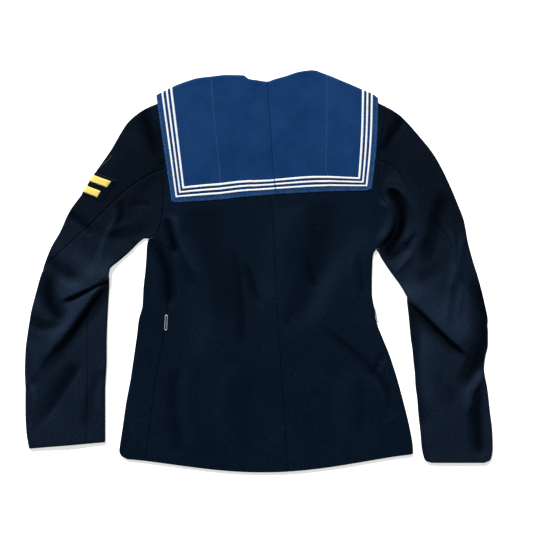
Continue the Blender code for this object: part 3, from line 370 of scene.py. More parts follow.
# Pressed creases of the collar
COLLAR_CREASES = [
    # start, middle, end, height, left, right
    ((14, 324), (21, 226), (28, 133), -0.7, 1.6, 2.6),
    ((-83, 330), (-72, 226), (-58, 124), 0.7, 1.8, 1.8),
    ((112, 336), (113, 226), (121, 138), 0.7, 1.8, 1.8),
    ((-120, 300), (-60, 250), (-30, 170), -1.5, 14, 16),
    ((60, 300), (80, 240), (70, 180), 1.5, 18, 16),
    ((150, 300), (140, 240), (150, 190), -1.2, 12, 14),
    ((-10, 326), (-2, 300), (-20, 270), -0.8, 6, 8),
]

LEFT_CREASE = [(-80.5, 329.3), (-74.8, 258.4), (-67.5, 190.4), (-62.7, 142.8), (-59.0, 124.0)]
RIGHT_CREASE = [(115.8, 330.0), (115.8, 247.0), (114.1, 173.4), (119.7, 162.0), (121.0, 138.0)]
CENTRE_CREASE = [(14.8, 320.8), (19.4, 258.4), (25.6, 164.9), (30.4, 130.0)]

TAPES = [
    # name, distance from the collar's edge, width
    ("collar_tape_outer", 10.0, 3.1),
    ("collar_tape_middle", 17.0, 3.1),
    ("collar_tape_inner", 24.0, 3.5),
]
TAPE_ROLL_END = -45.0
TAPE_PROFILE = [
    # share of the width, height
    (0.0, -0.45), (0.1, -0.1), (0.3, 0.0), (0.5, 0.0), (0.7, 0.0), (0.9, -0.1), (1.0, -0.45),
]
TAPE_BODY = 0.7
TAPE_SIDE_COUNT = 60
TAPE_EDGE_COUNT = 130
TAPE_ROLL_COUNT = 8
TAPE_END_START = 0.01
TAPE_END_ROOM = 60.0
TAPE_END_COUNT = 60
TAPE_REST = 0.05

BADGE_TOP = 4.0
BADGE_BOTTOM = 46.0
BADGE_REACH = 37.0
BADGE_CLIMB = 0.215
ROOM_REACH = 44.0
ROOM_LIFT = 2.9
ROOM_MARGIN = 24.0
ROOM_RAMP = 26.0
CHEVRONS = [
    # name, first edge and last edge at the point of the V, reach
    ("chevron_upper", 8.0, 20.2, 30.0),
    ("chevron_lower", 29.5, 41.7, 25.5),
]

BADGE_SECTIONS = (2, 7)
BADGE_SAMPLES = 401
BADGE_TURN_GAIN = 2.5
BADGE_TURN_WIDTH = 4.0
BADGE_FLAT = 0.3           # a badge cloth's edge keeps this share of its thickness
PATCH_GAP = 0.15
PATCH_THICKNESS = 0.9
PATCH_ROUND = (0.05, 0.04)
PATCH_ROWS = 30
PATCH_COLUMNS = 46
BAR_GAP = 1.15
BAR_THICKNESS = 1.1
BAR_ROUND = (0.14, 0.05)
BAR_ROWS = 13
BAR_COLUMNS = 54

FRONT_BADGE_EDGE = [
    # down, reach
    (-36.4, 5.4), (-28.4, 6.6), (-15.9, 3.8), (-4.2, 1.2),
]
PATCH_STITCHES = (1.5, 1.35, 0.45)         # pitch, length, thread
PATCH_STITCH_REACH = 38.0
PATCH_STITCH_POINTS = 120
PATCH_STITCH_RISE = 0.6
PATCH_STITCH_LIFT = 0.25
BADGE_STITCHES = (1.5, 1.4, 0.6)           # pitch, length, thread
BADGE_STITCH_POINTS = 60

WIRE = 1.8
HOOK_LENGTH = 27.0
HOOK_WIDTH = 5.3
HOOK_LEFT_Y = -86.0
HOOK_RIGHT_Y = -73.0
HOOK_BENDS = 12
HOOK_SIDES = 12
HOOK_SLANT = 0.05
HOOK_SPOTS_X = (-4, 0, 4)
HOOK_SPOTS_Y = (-14, 0, 14)

STITCH = 2.4
STITCH_PITCH = 3.3
THREAD = 0.36
STITCH_SIDES = 6
STITCH_AHEAD = 0.2
STITCH_RINGS = [
    # share of the length, size, lift
    (-0.5, 0.25, -0.25), (-0.3, 0.9, 0.0), (0.0, 1.0, 0.1), (0.3, 0.9, 0.0), (0.5, 0.25, -0.25),
]
TOPSTITCH_ROWS = (1.8, 6.4)
TOPSTITCH_LIFT = 0.02
THREAD_REST = 0.1

# Camera: straight down, the photograph's frame across the floor
VIEW_WIDTH = 904.2
VIEW_CENTRE = (13.8, 9.4)
CAMERA_HEIGHT = 2.0        # metres


def smooth_step(value):
    """Rise smoothly from 0 to 1 as the value goes from 0 to 1."""
    part = np.clip(value, 0.0, 1.0)
    return part * part * (3.0 - 2.0 * part)


def curve_through(knots, values, at):
    """Smooth curve through the values, with no overshoot between them."""
    knots, values = np.asarray(knots, float), np.asarray(values, float)
    at = np.asarray(at, float)
    step = np.diff(knots)
    slope = np.diff(values) / step
    tangent = np.zeros(len(knots))
    tangent[0], tangent[-1] = slope[0], slope[-1]
    for index in range(1, len(knots) - 1):
        before, after = slope[index - 1], slope[index]
        if before * after > 0:
            one = 2 * step[index] + step[index - 1]
            two = step[index] + 2 * step[index - 1]
            tangent[index] = (one + two) / (one / before + two / after)
    spot = np.clip(np.searchsorted(knots, at) - 1, 0, len(step) - 1)
    part = (at - knots[spot]) / step[spot]
    rest = 1 - part
    return (
        values[spot] * (1 + 2 * part) * rest**2
        + tangent[spot] * step[spot] * part * rest**2
        + values[spot + 1] * part**2 * (3 - 2 * part)
        - tangent[spot + 1] * step[spot] * part**2 * rest
    )


def table_at(table, rows, corner=None):
    """Every column of a table at fractional rows. A corner row stays sharp."""
    values = np.array(table, float)
    rows = np.asarray(rows, float)
    last = len(values) - 1
    parts = [(0, last)] if corner is None else [(0, corner), (corner, last)]
    result = np.empty((len(rows), values.shape[1]))
    for low, high in parts:
        pick = (rows >= low) & (rows <= high)
        knots = np.arange(low, high + 1)
        for column in range(values.shape[1]):
            result[pick, column] = curve_through(knots, values[low : high + 1, column], rows[pick])
    return result


def along(table, at):
    """Read a two-column table at the given places, in straight stretches."""
    columns = np.array(table, float)
    return np.interp(at, columns[:, 0], columns[:, 1])


def points_at(places, steps, points):
    """Points of a line at the given places, where steps are the places of its own points."""
    return np.stack([np.interp(places, steps, column) for column in points.T], axis=-1)


def unit(vectors):
    """The same directions with length 1."""
    vectors = np.asarray(vectors, float)
    size = np.linalg.norm(vectors, axis=-1, keepdims=True)
    return vectors / np.maximum(size, LEAST_LENGTH)


def side_of(line, x, y):
    """Distance from a directed line, positive on its left."""
    (x0, y0), (x1, y1) = line
    length = math.hypot(x1 - x0, y1 - y0)
    return ((x1 - x0) * (y - y0) - (y1 - y0) * (x - x0)) / length


def fold_path(fold, count):
    """Points along a fold's curve."""
    start, middle, end = (np.array(point, float) for point in fold[:3])
    control = 2 * middle - (start + end) / 2
    steps = np.linspace(0.0, 1.0, count)[:, None]
    return (1 - steps) ** 2 * start + 2 * steps * (1 - steps) * control + steps**2 * end


def even_fold(fold, x, y):
    """Fold with the same flank on both sides, fading at its ends."""
    width = fold[4]
    length = math.dist(fold[0], fold[1]) + math.dist(fold[1], fold[2])
    path = fold_path(fold, max(FOLD_LEAST, int(length / (FOLD_STEP * width)) + 1))
    gap = np.linalg.norm(np.diff(path, axis=0), axis=1)
    weight = np.concatenate([gap / 2, [0.0]]) + np.concatenate([[0.0], gap / 2])
    total = np.zeros(x.shape)
    for (spot_x, spot_y), share in zip(path, weight):
        total += share * np.exp(-((x - spot_x) ** 2 + (y - spot_y) ** 2) / width**2)
    return total / (math.sqrt(math.pi) * width)


def uneven_fold(fold, x, y):
    """Fold with a steep flank on one side."""
    left, right = fold[4:]
    path = fold_path(fold, FOLD_POINTS)
    best = np.full(x.shape, np.inf)
    place = np.zeros(x.shape)
    left_side = np.zeros(x.shape, bool)
    for index in range(len(path) - 1):
        a, b = path[index], path[index + 1]
        run = b - a
        share = ((x - a[0]) * run[0] + (y - a[1]) * run[1]) / (run @ run)
        share = np.clip(share, 0.0, 1.0)
        dx = x - (a[0] + share * run[0])
        dy = y - (a[1] + share * run[1])
        far = np.hypot(dx, dy)
        nearer = far < best
        best = np.where(nearer, far, best)
        place = np.where(nearer, (index + share) / (len(path) - 1), place)
        left_side = np.where(nearer, run[0] * dy - run[1] * dx > 0, left_side)
    fade = smooth_step(place / FOLD_FADE) * smooth_step((1.0 - place) / FOLD_FADE)
    return fade * np.exp(-((best / np.where(left_side, left, right)) ** 2))


def fold_height(fold, x, y):
    """Height that one fold adds at plan points."""
    reach = FOLD_REACH * max(fold[4:])
    corners = np.array(fold[:3], float)
    low, high = corners.min(axis=0) - reach, corners.max(axis=0) + reach
    result = np.zeros(np.shape(x))
    near = (x > low[0]) & (x < high[0]) & (y > low[1]) & (y < high[1])
    shape = even_fold if fold[4] == fold[5] else uneven_fold
    result[near] = fold[3] * shape(fold, x[near], y[near])
    return result


def under_flap(x, y):
    """1 under the collar's flap, 0 well outside it."""
    left = (COLLAR_FOLD[0], COLLAR_EDGE[0])
    below = (COLLAR_EDGE[0], COLLAR_EDGE[-1])
    right = (COLLAR_EDGE[-1], COLLAR_FOLD[-1])
    depth = np.minimum(side_of(left, x, y), side_of(right, x, y))
    depth = np.minimum(depth, side_of(below, x, y))
    return smooth_step((depth + FLAP_MARGIN + COLLAR_RAMP) / COLLAR_RAMP)


def badge_frame():
    """Middle of the badge's room and the direction down the sleeve."""
    upper, lower = np.array(LEFT_SLEEVE[3][:2], float), np.array(LEFT_SLEEVE[5][:2], float)
    return (upper + lower) / 2, unit(lower - upper)


def badge_room(x, y):
    """Height that the sleeve gains where the badge wraps under it."""
    middle, run = badge_frame()
    down = (x - middle[0]) * run[0] + (y - middle[1]) * run[1]
    across = (y - middle[1]) * run[0] - (x - middle[0]) * run[1]
    far = np.maximum(np.abs(down), np.abs(across)) - ROOM_REACH
    return ROOM_LIFT * smooth_step(1.0 - (far - ROOM_MARGIN) / ROOM_RAMP)


# Slight unevenness of laid cloth, a few tenths of a millimetre
RIPPLES = [
    # height, x_length, x_bend, x_bend_length, y_length, y_bend, y_bend_length
    (0.30, 19.0, 1.3, 41.0, 27.0, 0.8, 33.0),
    (0.08, 7.3, 2.0, 15.0, 8.9, 1.7, 12.0),
]
COLLAR_RIPPLE = (0.12, 6.1, 1.9, 14.0, 7.7, 1.4, 11.0)


def ripple(row, x, y):
    """Waves along both axes, each bent by the other."""
    height, x_length, x_bend, x_bend_length, y_length, y_bend, y_bend_length = row
    along_x = np.sin(x / x_length + x_bend * np.sin(y / x_bend_length))
    along_y = np.sin(y / y_length + y_bend * np.sin(x / y_bend_length))
    return height * along_x * along_y


MAP_REACH_X, MAP_REACH_Y = 420.0, 366.0
MAP_X = np.arange(-MAP_REACH_X, MAP_REACH_X + 1)
MAP_Y = np.arange(-MAP_REACH_Y, MAP_REACH_Y + 1)


def height_map():
    """Height of the upper layer's face, and its narrow folds alone for painted light and shade, on a
    grid of 1 mm.
    """
    x, y = np.meshgrid(MAP_X, MAP_Y)
    rise = sum(ripple(row, x, y) for row in RIPPLES)
    shade_relief = np.zeros(x.shape)
    for fold in FOLDS:
        height = fold_height(fold, x, y)
        rise = rise + height
        if max(fold[4:]) < WIDE_FLANK:
            shade_relief = shade_relief + height
    bare = 1.0 - under_flap(x, y)
    above = (LAID_HEIGHT + rise * bare - LOWEST_TOP) / LOWEST_SOFT
    top = LOWEST_TOP + LOWEST_SOFT * np.logaddexp(0.0, above)
    below = (HIGHEST_TOP - top) / HIGHEST_SOFT
    top = HIGHEST_TOP - HIGHEST_SOFT * np.logaddexp(0.0, below) + badge_room(x, y)
    crest = CREST_LIGHT_CAP * np.tanh(np.maximum(shade_relief, 0.0) / CREST_LIGHT_CAP)
    return top, np.minimum(shade_relief, 0.0) + crest


HEIGHTS, SHADE_RELIEF = height_map()


def read_map(grid, x, y):
    """Value of a map of 1 mm at plan points."""
    column = np.clip(np.asarray(x, float) - MAP_X[0], 0, len(MAP_X) - 1 - MAP_MARGIN)
    row = np.clip(np.asarray(y, float) - MAP_Y[0], 0, len(MAP_Y) - 1 - MAP_MARGIN)
    i, j = row.astype(int), column.astype(int)
    v, u = row - i, column - j
    low = grid[i, j] * (1 - u) + grid[i, j + 1] * u
    high = grid[i + 1, j] * (1 - u) + grid[i + 1, j + 1] * u
    return low * (1 - v) + high * v


def cloth_top(x, y):
    """Height of the upper layer's face at plan points."""
    return read_map(HEIGHTS, x, y)


def add_shade_relief(mesh):
    """Store how far each point lies on a ridge or in a hollow, for painted light on ridges and painted
    shade in hollows.
    """
    places = np.empty(len(mesh.vertices) * 3)
    mesh.vertices.foreach_get("co", places)
    x, y, z = places.reshape(-1, 3).T / MM
    values = read_map(SHADE_RELIEF, x, y) * smooth_step((z - SHADE_RELIEF_FROM) / SHADE_RELIEF_FROM)
    attribute = mesh.attributes.new("shade_relief", "FLOAT", "POINT")
    attribute.data.foreach_set("value", values.astype(np.float32))


def cloth_rest(x, y):
    """Height of the lower layer's underside at plan points."""
    ends_left = (COLLAR_FOLD[0], COLLAR_TIP_LEFT[0])
    ends_right = (COLLAR_TIP_RIGHT[0], COLLAR_FOLD[-1])
    inside = np.minimum(side_of(ends_left, x, y), side_of(ends_right, x, y))
    ramp = (inside + COLLAR_MARGIN + COLLAR_RAMP) / COLLAR_RAMP
    return (COLLAR_CLOTH + GAP) * smooth_step(ramp) + badge_room(x, y)


def laid_points(plan, inward, distance, layer, radius=EDGE_ROUND):
    """Outer and inner points of a laid wall, for plan points of any shape."""
    plan = np.asarray(plan, float)
    inward = np.broadcast_to(np.asarray(inward, float), plan.shape)
    distance = np.broadcast_to(np.asarray(distance, float), plan.shape[:-1])
    radius = np.maximum(np.broadcast_to(np.asarray(radius, float), plan.shape[:-1]), LEAST_RADIUS)
    layer = np.broadcast_to(np.asarray(layer, float), plan.shape[:-1])
    angle = 0.5 * math.pi * np.clip(distance / radius, 0.0, 1.0)
    shift = np.where(distance < radius, distance - radius * (1 - np.cos(angle)), 0.0)
    spot = plan - inward * shift[..., None]
    x, y = spot[..., 0], spot[..., 1]
    top, rest = cloth_top(x, y), cloth_rest(x, y)
    half, middle = (top - rest) / 2, (top + rest) / 2
    slope_x = (cloth_top(x + SLOPE_STEP, y) - top) / SLOPE_STEP
    slope_y = (cloth_top(x, y + SLOPE_STEP) - top) / SLOPE_STEP
    steep = np.minimum(np.sqrt(1.0 + slope_x**2 + slope_y**2), STEEPEST)
    depth = np.where(layer > 0, CLOTH * steep, CLOTH)
    depth = np.minimum(depth, half - LEAST_HOLLOW)
    outer = np.concatenate([spot, (middle + layer * half * np.sin(angle))[..., None]], -1)
    turn_in = np.minimum(CLOTH, TURN_SHARE * radius) * np.cos(angle)
    inner_plan = spot + inward * turn_in[..., None]
    inner_z = middle + layer * (half - depth) * np.sin(angle)
    return outer, np.concatenate([inner_plan, inner_z[..., None]], -1)


def spread(start, end, count, density):
    """Places from start to end, closer together where density is higher."""
    fine = np.linspace(start, end, SPREAD_STEPS)
    weight = density(fine)
    total = np.concatenate([[0.0], np.cumsum((weight[1:] + weight[:-1]) / 2)])
    return np.interp(np.linspace(0, total[-1], count), total, fine)


def closer(distance, gain, width):
    """Density of points that rises near a line."""
    return 1.0 + gain * np.exp(-((distance / width) ** 2))


def beside(points, offset):
    """Shift a line of plan points sideways, to its left where positive."""
    points = np.asarray(points, float)
    run = unit(np.gradient(points, axis=0))
    offset = np.broadcast_to(offset, len(points))[:, None]
    return points + offset * np.column_stack([-run[:, 1], run[:, 0]])


def groove(distance, depth=SEAM_DEPTH, width=SEAM_WIDTH):
    """How far a face sinks beside a seam."""
    return depth * np.exp(-((distance / width) ** 2))


def meet(inner, first=True, last=True):
    """Lengthen the rows of an inner face so that no light falls through a seam."""
    inner = inner.copy()
    if first:
        inner[:, 0] += unit(inner[:, 0] - inner[:, 2]) * SEAM_MEET
    if last:
        inner[:, -1] += unit(inner[:, -1] - inner[:, -3]) * SEAM_MEET
    return inner


def sink(outer, inner, depth):
    """Lower the outer face towards the inner one."""
    return outer - unit(outer - inner) * depth[..., None]


def make_shell(name, outer, inner, material, keep=None, replaces=None):
    """Closed shell between two grids of points, in millimetres."""
    outer, inner = np.asarray(outer, float), np.asarray(inner, float)
    rows, columns = outer.shape[:2]
    count = rows * columns
    index = np.arange(count).reshape(rows, columns)
    corners = [index[:-1, :-1], index[:-1, 1:], index[1:, 1:], index[1:, :-1]]
    quads = np.stack(corners, axis=-1)
    quads = quads.reshape(-1, 4) if keep is None else quads[keep]
    starts = np.concatenate([quads[:, i] for i in range(4)]).astype(np.int64)
    ends = np.concatenate([quads[:, (i + 1) % 4] for i in range(4)]).astype(np.int64)
    open_edge = ~np.isin(starts * count + ends, ends * count + starts)
    a, b = starts[open_edge], ends[open_edge]
    sides = np.stack([b, a, a + count, b + count], axis=-1)
    faces = np.concatenate([quads, quads[:, ::-1] + count, sides])
    points = np.concatenate([outer.reshape(-1, 3), inner.reshape(-1, 3)]) * MM
    mesh = bpy.data.meshes.new(name)
    mesh.from_pydata(points.tolist(), [], faces.tolist())
    build = bmesh.new()
    build.from_mesh(mesh)
    bmesh.ops.remove_doubles(build, verts=build.verts[:], dist=WELD)
    bmesh.ops.dissolve_degenerate(build, dist=SLIVER, edges=build.edges[:])
    loose = [vert for vert in build.verts if not vert.link_faces]
    bmesh.ops.delete(build, geom=loose, context="VERTS")
    bmesh.ops.recalc_face_normals(build, faces=build.faces[:])
    build.to_mesh(mesh)
    build.free()
    return finish_piece(name, mesh, material, replaces)


def finish_piece(name, mesh, material, replaces=None):
    """Link a mesh as a piece of the object."""
    mesh.shade_smooth()
    mesh.set_sharp_from_angle(angle=math.radians(SHARP_ANGLE))
    mesh.materials.append(material)
    add_shade_relief(mesh)
    piece = bpy.data.objects.new(name, mesh)
    bpy.context.scene.collection.objects.link(piece)
    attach(piece, BODY)
    if replaces:
        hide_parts(*replaces)
    return piece


# Body

ROWS_ABOVE = np.linspace(0, UNDERARM_ROW, COUNT_ABOVE)
ROWS_BELOW = np.linspace(UNDERARM_ROW, len(BODY_ROWS) - 1, COUNT_BELOW)[1:]
ROWS_START = UNDERARM_ROW + np.linspace(0, 1, COUNT_START)[1:]
ROWS = np.unique(np.concatenate([ROWS_ABOVE, ROWS_START, ROWS_BELOW]).round(4))
BODY_AT = table_at(BODY_ROWS, ROWS, UNDERARM_ROW)
BELOW = ROWS > UNDERARM_ROW + NEARLY_ZERO


def row_height(index, x):
    """Y of a fine body row at the given x."""
    start_x, start_y, _, _, end_x, end_y, rise, sag = BODY_AT[index]
    share = np.clip((x - start_x) / (end_x - start_x), 0.0, 1.0)
    line = start_y + (end_y - start_y) * share
    hang = HEM_SAG * np.sin(math.pi * share) ** HEM_SAG_POWER
    return line + rise * along(TOP_LINE, x) - sag * hang


def seam_line(x_values):
    """Plan points of a line down the body, one for each fine row."""
    y_values = [float(row_height(index, x)) for index, x in enumerate(x_values)]
    return np.column_stack([x_values, y_values])


LEFT_SEAM = seam_line(BODY_AT[:, 2])
CENTRE_SEAM = seam_line(BODY_AT[:, 3])
RIGHT_SEAM = seam_line(BODY_AT[:, 4])
LEFT_EDGE = seam_line(BODY_AT[:, 0])
STRIP_WIDTH = BODY_AT[:, 2] - BODY_AT[:, 0]
LEFT_ROUND = np.where(BELOW, np.minimum(EDGE_ROUND, STRIP_SHARE * STRIP_WIDTH), 0.0)
RIGHT_ROUND = EDGE_ROUND * smooth_step((ROWS - UNDERARM_ROW) / ROUND_ROWS)


def panel_lines(left, right, pitch):
    """Plan points of every row between two lines, closer near its ends."""
    count = int(np.max(right[:, 0] - left[:, 0]) / pitch) + END_COLUMNS
    lines, left_gap, right_gap = [], [], []
    for index in range(len(ROWS)):
        start, end = left[index, 0], right[index, 0]

        def density(x):
            return closer(np.minimum(x - start, end - x), END_GAIN, END_WIDTH)

        x = spread(start, end, count, density)
        y = row_height(index, x)
        y[0], y[-1] = left[index, 1], right[index, 1]
        lines.append(np.column_stack([x, y]))
        left_gap.append(x - start)
        right_gap.append(end - x)
    return np.array(lines), np.array(left_gap), np.array(right_gap)


def edge_turn(edge, direction, radius, angles):
    """Rounded side of the body: points round it at each row."""
    outer, inner = [], []
    inward = np.array([direction, 0.0])
    for angle in angles:
        distance = radius * abs(angle) / 90.0
        layer = 1 if angle >= 0 else -1
        plan = edge + inward * distance[:, None]
        out_line, in_line = laid_points(plan, inward, distance, layer, radius)
        outer.append(out_line)
        inner.append(in_line)
    return np.array(outer).swapaxes(0, 1), np.array(inner).swapaxes(0, 1)


def add_turn(outer, inner, more_out, more_in):
    """Join a rounded side to a panel. Above the underarm it has no width."""
    for index in np.flatnonzero(~BELOW):
        more_out[index] = outer[index, -1]
        more_in[index] = inner[index, -1]
    return np.concatenate([outer, more_out], 1), np.concatenate([inner, more_in], 1)


def add_shoulder(lines, outer, inner, layer):
    """Rounded rows of the shoulder seam above the first row of a panel."""
    first, following = lines[0], lines[SHOULDER_ROW]
    fall = np.maximum((first - following)[:, 1], 1.0)
    inward = unit(following - first)
    rows_out, rows_in = [], []
    for distance in np.linspace(0, EDGE_ROUND, SHOULDER_STEPS):
        plan = first + (following - first) * (distance / fall)[:, None]
        out_line, in_line = laid_points(plan, inward, distance, layer)
        lift = layer * GAP / 2 * (1 - distance / EDGE_ROUND)
        out_line[:, 2] += lift
        in_line[:, 2] += lift
        rows_out.append(out_line)
        rows_in.append(in_line)
    extra = outer.shape[1] - lines.shape[1]
    rows_out = [np.concatenate([row, np.repeat(row[-1:], extra, 0)]) for row in rows_out]
    rows_in = [np.concatenate([row, np.repeat(row[-1:], extra, 0)]) for row in rows_in]
    keep_rows = lines[:, :, 1].min(axis=1) < first[:, 1].min() - EDGE_ROUND
    start = int(np.argmax(keep_rows))
    return np.concatenate([rows_out, outer[start:]]), np.concatenate([rows_in, inner[start:]])


def hem_sink(outer, inner):
    """Round the hem's edge a little."""
    run = np.linalg.norm(np.diff(outer, axis=0), axis=2)
    to_hem = np.concatenate([np.cumsum(run[::-1], axis=0)[::-1], np.zeros((1, run.shape[1]))])
    return sink(outer, inner, groove(to_hem, HEM_DEPTH, HEM_WIDTH))


def shoulder_mask(shape, plan_x, low, high):
    """Cells to keep: the neck's columns have no shoulder roll."""
    keep = np.ones((shape[0] - 1, shape[1] - 1), bool)
    middle = (plan_x[1:] + plan_x[:-1]) / 2
    neck = np.zeros(shape[1] - 1, bool)
    neck[: len(middle)] = (middle > low) & (middle < high)
    keep[: SHOULDER_STEPS - 1][:, neck] = False
    return keep


def make_back(name, left, right, low, high, right_side):
    """One back panel."""
    lines, left_gap, right_gap = panel_lines(left, right, BODY_PITCH)
    outer, inner = laid_points(lines, (0.0, -1.0), INSIDE, 1)
    right_depth = groove(right_gap)
    if right_side:
        right_depth = right_depth * (~BELOW)[:, None]
    outer = sink(outer, inner, groove(left_gap) + right_depth)
    inner = meet(inner, True, not right_side)
    if right_side:
        turn = edge_turn(RIGHT_SEAM, -1.0, RIGHT_ROUND, np.linspace(90, 0, QUARTER_TURN)[1:])
        for face in turn:
            face[:, -1, 2] += GAP / 2
        outer, inner = add_turn(outer, inner, *turn)
    outer, inner = add_shoulder(lines, outer, inner, 1)
    outer = hem_sink(outer, inner)
    keep = shoulder_mask(outer.shape, lines[0, :, 0], low, high)
    return make_shell(name, outer, inner, SERGE, keep, [name])


def side_line(line, offset, inset):
    """A seam's line moved off its neighbour and in from a rounded side."""
    points = beside(line, offset)
    points[BELOW] = line[BELOW] + np.column_stack([inset, np.zeros(len(line))])[BELOW]
    return points


def make_backs():
    """Both back panels."""
    left = beside(LEFT_SEAM, GAP / 2)
    middle_left = beside(CENTRE_SEAM, -GAP / 2)
    middle_right = beside(CENTRE_SEAM, GAP / 2)
    right = side_line(RIGHT_SEAM, -GAP / 2, -RIGHT_ROUND)
    make_back("back_left", left, middle_left, NECK_LEFT_X, FAR, False)
    make_back("back_right", middle_right, right, -FAR, NECK_RIGHT_X, True)


def front_line(side):
    """Neckline and centre front of one front panel."""
    neck = np.interp(ROWS, range(V_ROW + 1), [row[side] for row in V_NECK])
    x = np.where(ROWS < V_ROW, neck, BODY_AT[:, 3])
    return seam_line(x + (GAP / 2 if side else -GAP / 2))


def make_front_left():
    """Left front, round the left edge to its side seam on the top."""
    edge = side_line(LEFT_EDGE, GAP / 2, LEFT_ROUND)
    lines, _, right_gap = panel_lines(edge, front_line(0), UNDER_PITCH)
    outer, inner = laid_points(lines, (0.0, -1.0), INSIDE, -1)
    outer = sink(outer, inner, groove(right_gap, UNDER_SEAM_DEPTH))
    inner = meet(inner, False, True)
    outer, inner, lines = outer[:, ::-1], inner[:, ::-1], lines[:, ::-1]
    turn = edge_turn(LEFT_EDGE, 1.0, LEFT_ROUND, np.linspace(-90, 90, HALF_TURN)[1:])
    seam = beside(LEFT_SEAM, -GAP / 2)
    strip = np.zeros((len(ROWS), STRIP_COLUMNS, 2))
    gap = np.full((len(ROWS), STRIP_COLUMNS), FAR)
    for index in np.flatnonzero(BELOW):
        start = LEFT_EDGE[index, 0] + LEFT_ROUND[index]
        end = seam[index, 0]
        x = spread(start, end, STRIP_COLUMNS + 1, lambda x: closer(end - x, SEAM_GAIN, END_WIDTH))
        y = row_height(index, x)
        y[-1] = seam[index, 1]
        strip[index] = np.column_stack([x, y])[1:]
        gap[index] = end - x[1:]
    strip_out, strip_in = laid_points(strip, (0.0, -1.0), INSIDE, 1)
    strip_out = sink(strip_out, strip_in, groove(gap))
    strip_in[BELOW] = meet(strip_in[BELOW], False, True)
    more_out = np.concatenate([turn[0], strip_out], 1)
    more_in = np.concatenate([turn[1], strip_in], 1)
    outer, inner = add_turn(outer, inner, more_out, more_in)
    outer, inner = add_shoulder(lines, outer, inner, -1)
    outer = hem_sink(outer, inner)
    return make_shell("front_left", outer, inner, SERGE, None, ["front_left"])


def make_front_right():
    """Right front, up to the side seam in the right edge."""
    edge = side_line(RIGHT_SEAM, -GAP / 2, -RIGHT_ROUND)
    lines, left_gap, _ = panel_lines(front_line(1), edge, UNDER_PITCH)
    outer, inner = laid_points(lines, (0.0, -1.0), INSIDE, -1)
    outer = sink(outer, inner, groove(left_gap, UNDER_SEAM_DEPTH))
    inner = meet(inner, True, False)
    turn = edge_turn(RIGHT_SEAM, -1.0, RIGHT_ROUND, np.linspace(-90, 0, QUARTER_TURN)[1:])
    for face in turn:
        face[:, -1, 2] -= GAP / 2
    outer, inner = add_turn(outer, inner, *turn)
    outer, inner = add_shoulder(lines, outer, inner, -1)
    outer = hem_sink(outer, inner)
    return make_shell("front_right", outer, inner, SERGE, None, ["front_right"])


# Sleeves

STATIONS = np.linspace(0, 1, STATION_COUNT)


def armhole_line(side):
    """Armhole on the sleeve's side of the seam at the fine stations."""
    line = LEFT_SEAM if side == "left" else RIGHT_SEAM
    sign = -1.0 if side == "left" else 1.0
    rows = ROWS[~BELOW]
    near = (rows - (UNDERARM_ROW - UNDERARM_REACH)) / UNDERARM_RAMP
    away = GAP / 2 + UNDERARM_ROOM * smooth_step(near)
    moved = beside(line[~BELOW], sign * away)
    return points_at(STATIONS * UNDERARM_ROW, rows, moved)


HOLES = {side: armhole_line(side) for side in ("left", "right")}
SLEEVES = {"left": LEFT_SLEEVE, "right": RIGHT_SLEEVE}


def section_line(side, section):
    """Plan points across a sleeve at any section, and their places 0 to 1."""
    hole = HOLES[side]
    hole_share = (hole[0, 1] - hole[:, 1]) / (hole[0, 1] - hole[-1, 1])
    mix = min(1.0, section / HOLE_SECTIONS)
    share = hole_share * (1 - mix) + STATIONS * mix
    values = table_at(SLEEVES[side], [section])[0]
    bow_line = hole - (hole[0] + (hole[-1] - hole[0]) * hole_share[:, None])
    start = max(0.0, 1.0 - section)
    outer_end = values[:2] * (1 - start) + hole[0] * start
    inner_end = values[2:4] * (1 - start) + hole[-1] * start
    plan = outer_end + (inner_end - outer_end) * share[:, None] + values[4] * bow_line
    return plan, share, values


def ring_points(side, section, places):
    """Outer and inner points of a sleeve at places round one section."""
    line, share, _ = section_line(side, section)
    width = float(np.linalg.norm(line[-1] - line[0]))
    lap = np.mod(np.asarray(places, float), 2.0)
    layer = np.where(lap <= 1.0, 1, -1)
    across = np.where(lap <= 1.0, lap, 2.0 - lap)
    plan = points_at(across, share, line)
    near_outer = (across < 0.5)[:, None]
    from_outer = unit(line[EDGE_STATION] - line[0])
    from_inner = unit(line[-1 - EDGE_STATION] - line[-1])
    inward = np.where(near_outer, from_outer, from_inner)
    distance = np.minimum(across, 1.0 - across) * width
    return laid_points(plan, inward, distance, layer)


def make_sleeve_piece(name, side, first_column, last_column):
    """One sleeve piece, between two seams round the ring."""
    table = SLEEVES[side]
    last = len(table) - 1
    sections = np.linspace(0, last, int(last * SECTIONS_PER_ROW) + 1)
    around = None
    outer_rows, inner_rows, gaps = [], [], []
    for section in sections:
        line, _, values = section_line(side, section)
        width = float(np.linalg.norm(line[-1] - line[0]))
        start, end = values[first_column], values[last_column]
        if end < start:
            end += 2.0
        start, end = start + GAP / 2 / width, end - GAP / 2 / width
        if around is None:
            around = int((end - start) * width / SLEEVE_PITCH * SLEEVE_SPARE) + SLEEVE_EXTRA

        def density(place):
            to_side = np.abs(place - np.round(place)) * width
            to_seam = np.minimum(place - start, end - place) * width
            near_seam = closer(to_seam, SEAM_GAIN, END_WIDTH) - 1.0
            return closer(to_side, SIDE_GAIN, SIDE_WIDTH) + near_seam

        places = spread(start, end, around, density)
        outer, inner = ring_points(side, section, places)
        outer_rows.append(outer)
        inner_rows.append(inner)
        gaps.append(np.minimum(places - start, end - places) * width)
    outer, inner, gaps = np.array(outer_rows), np.array(inner_rows), np.array(gaps)
    run = np.linalg.norm(np.diff(outer, axis=0), axis=2)
    to_hole = np.concatenate([np.zeros((1, run.shape[1])), np.cumsum(run, axis=0)])
    depth = groove(gaps) + groove(to_hole)
    outer = sink(outer, inner, np.minimum(depth, DEEPEST_GROOVE))
    inner = meet(inner)
    inner[0] += unit(inner[0] - inner[2]) * HOLE_MEET
    outer = hem_sink(outer, inner)
    return make_shell(name, outer, inner, SLEEVE_SERGE_SHEEN, None, [name])


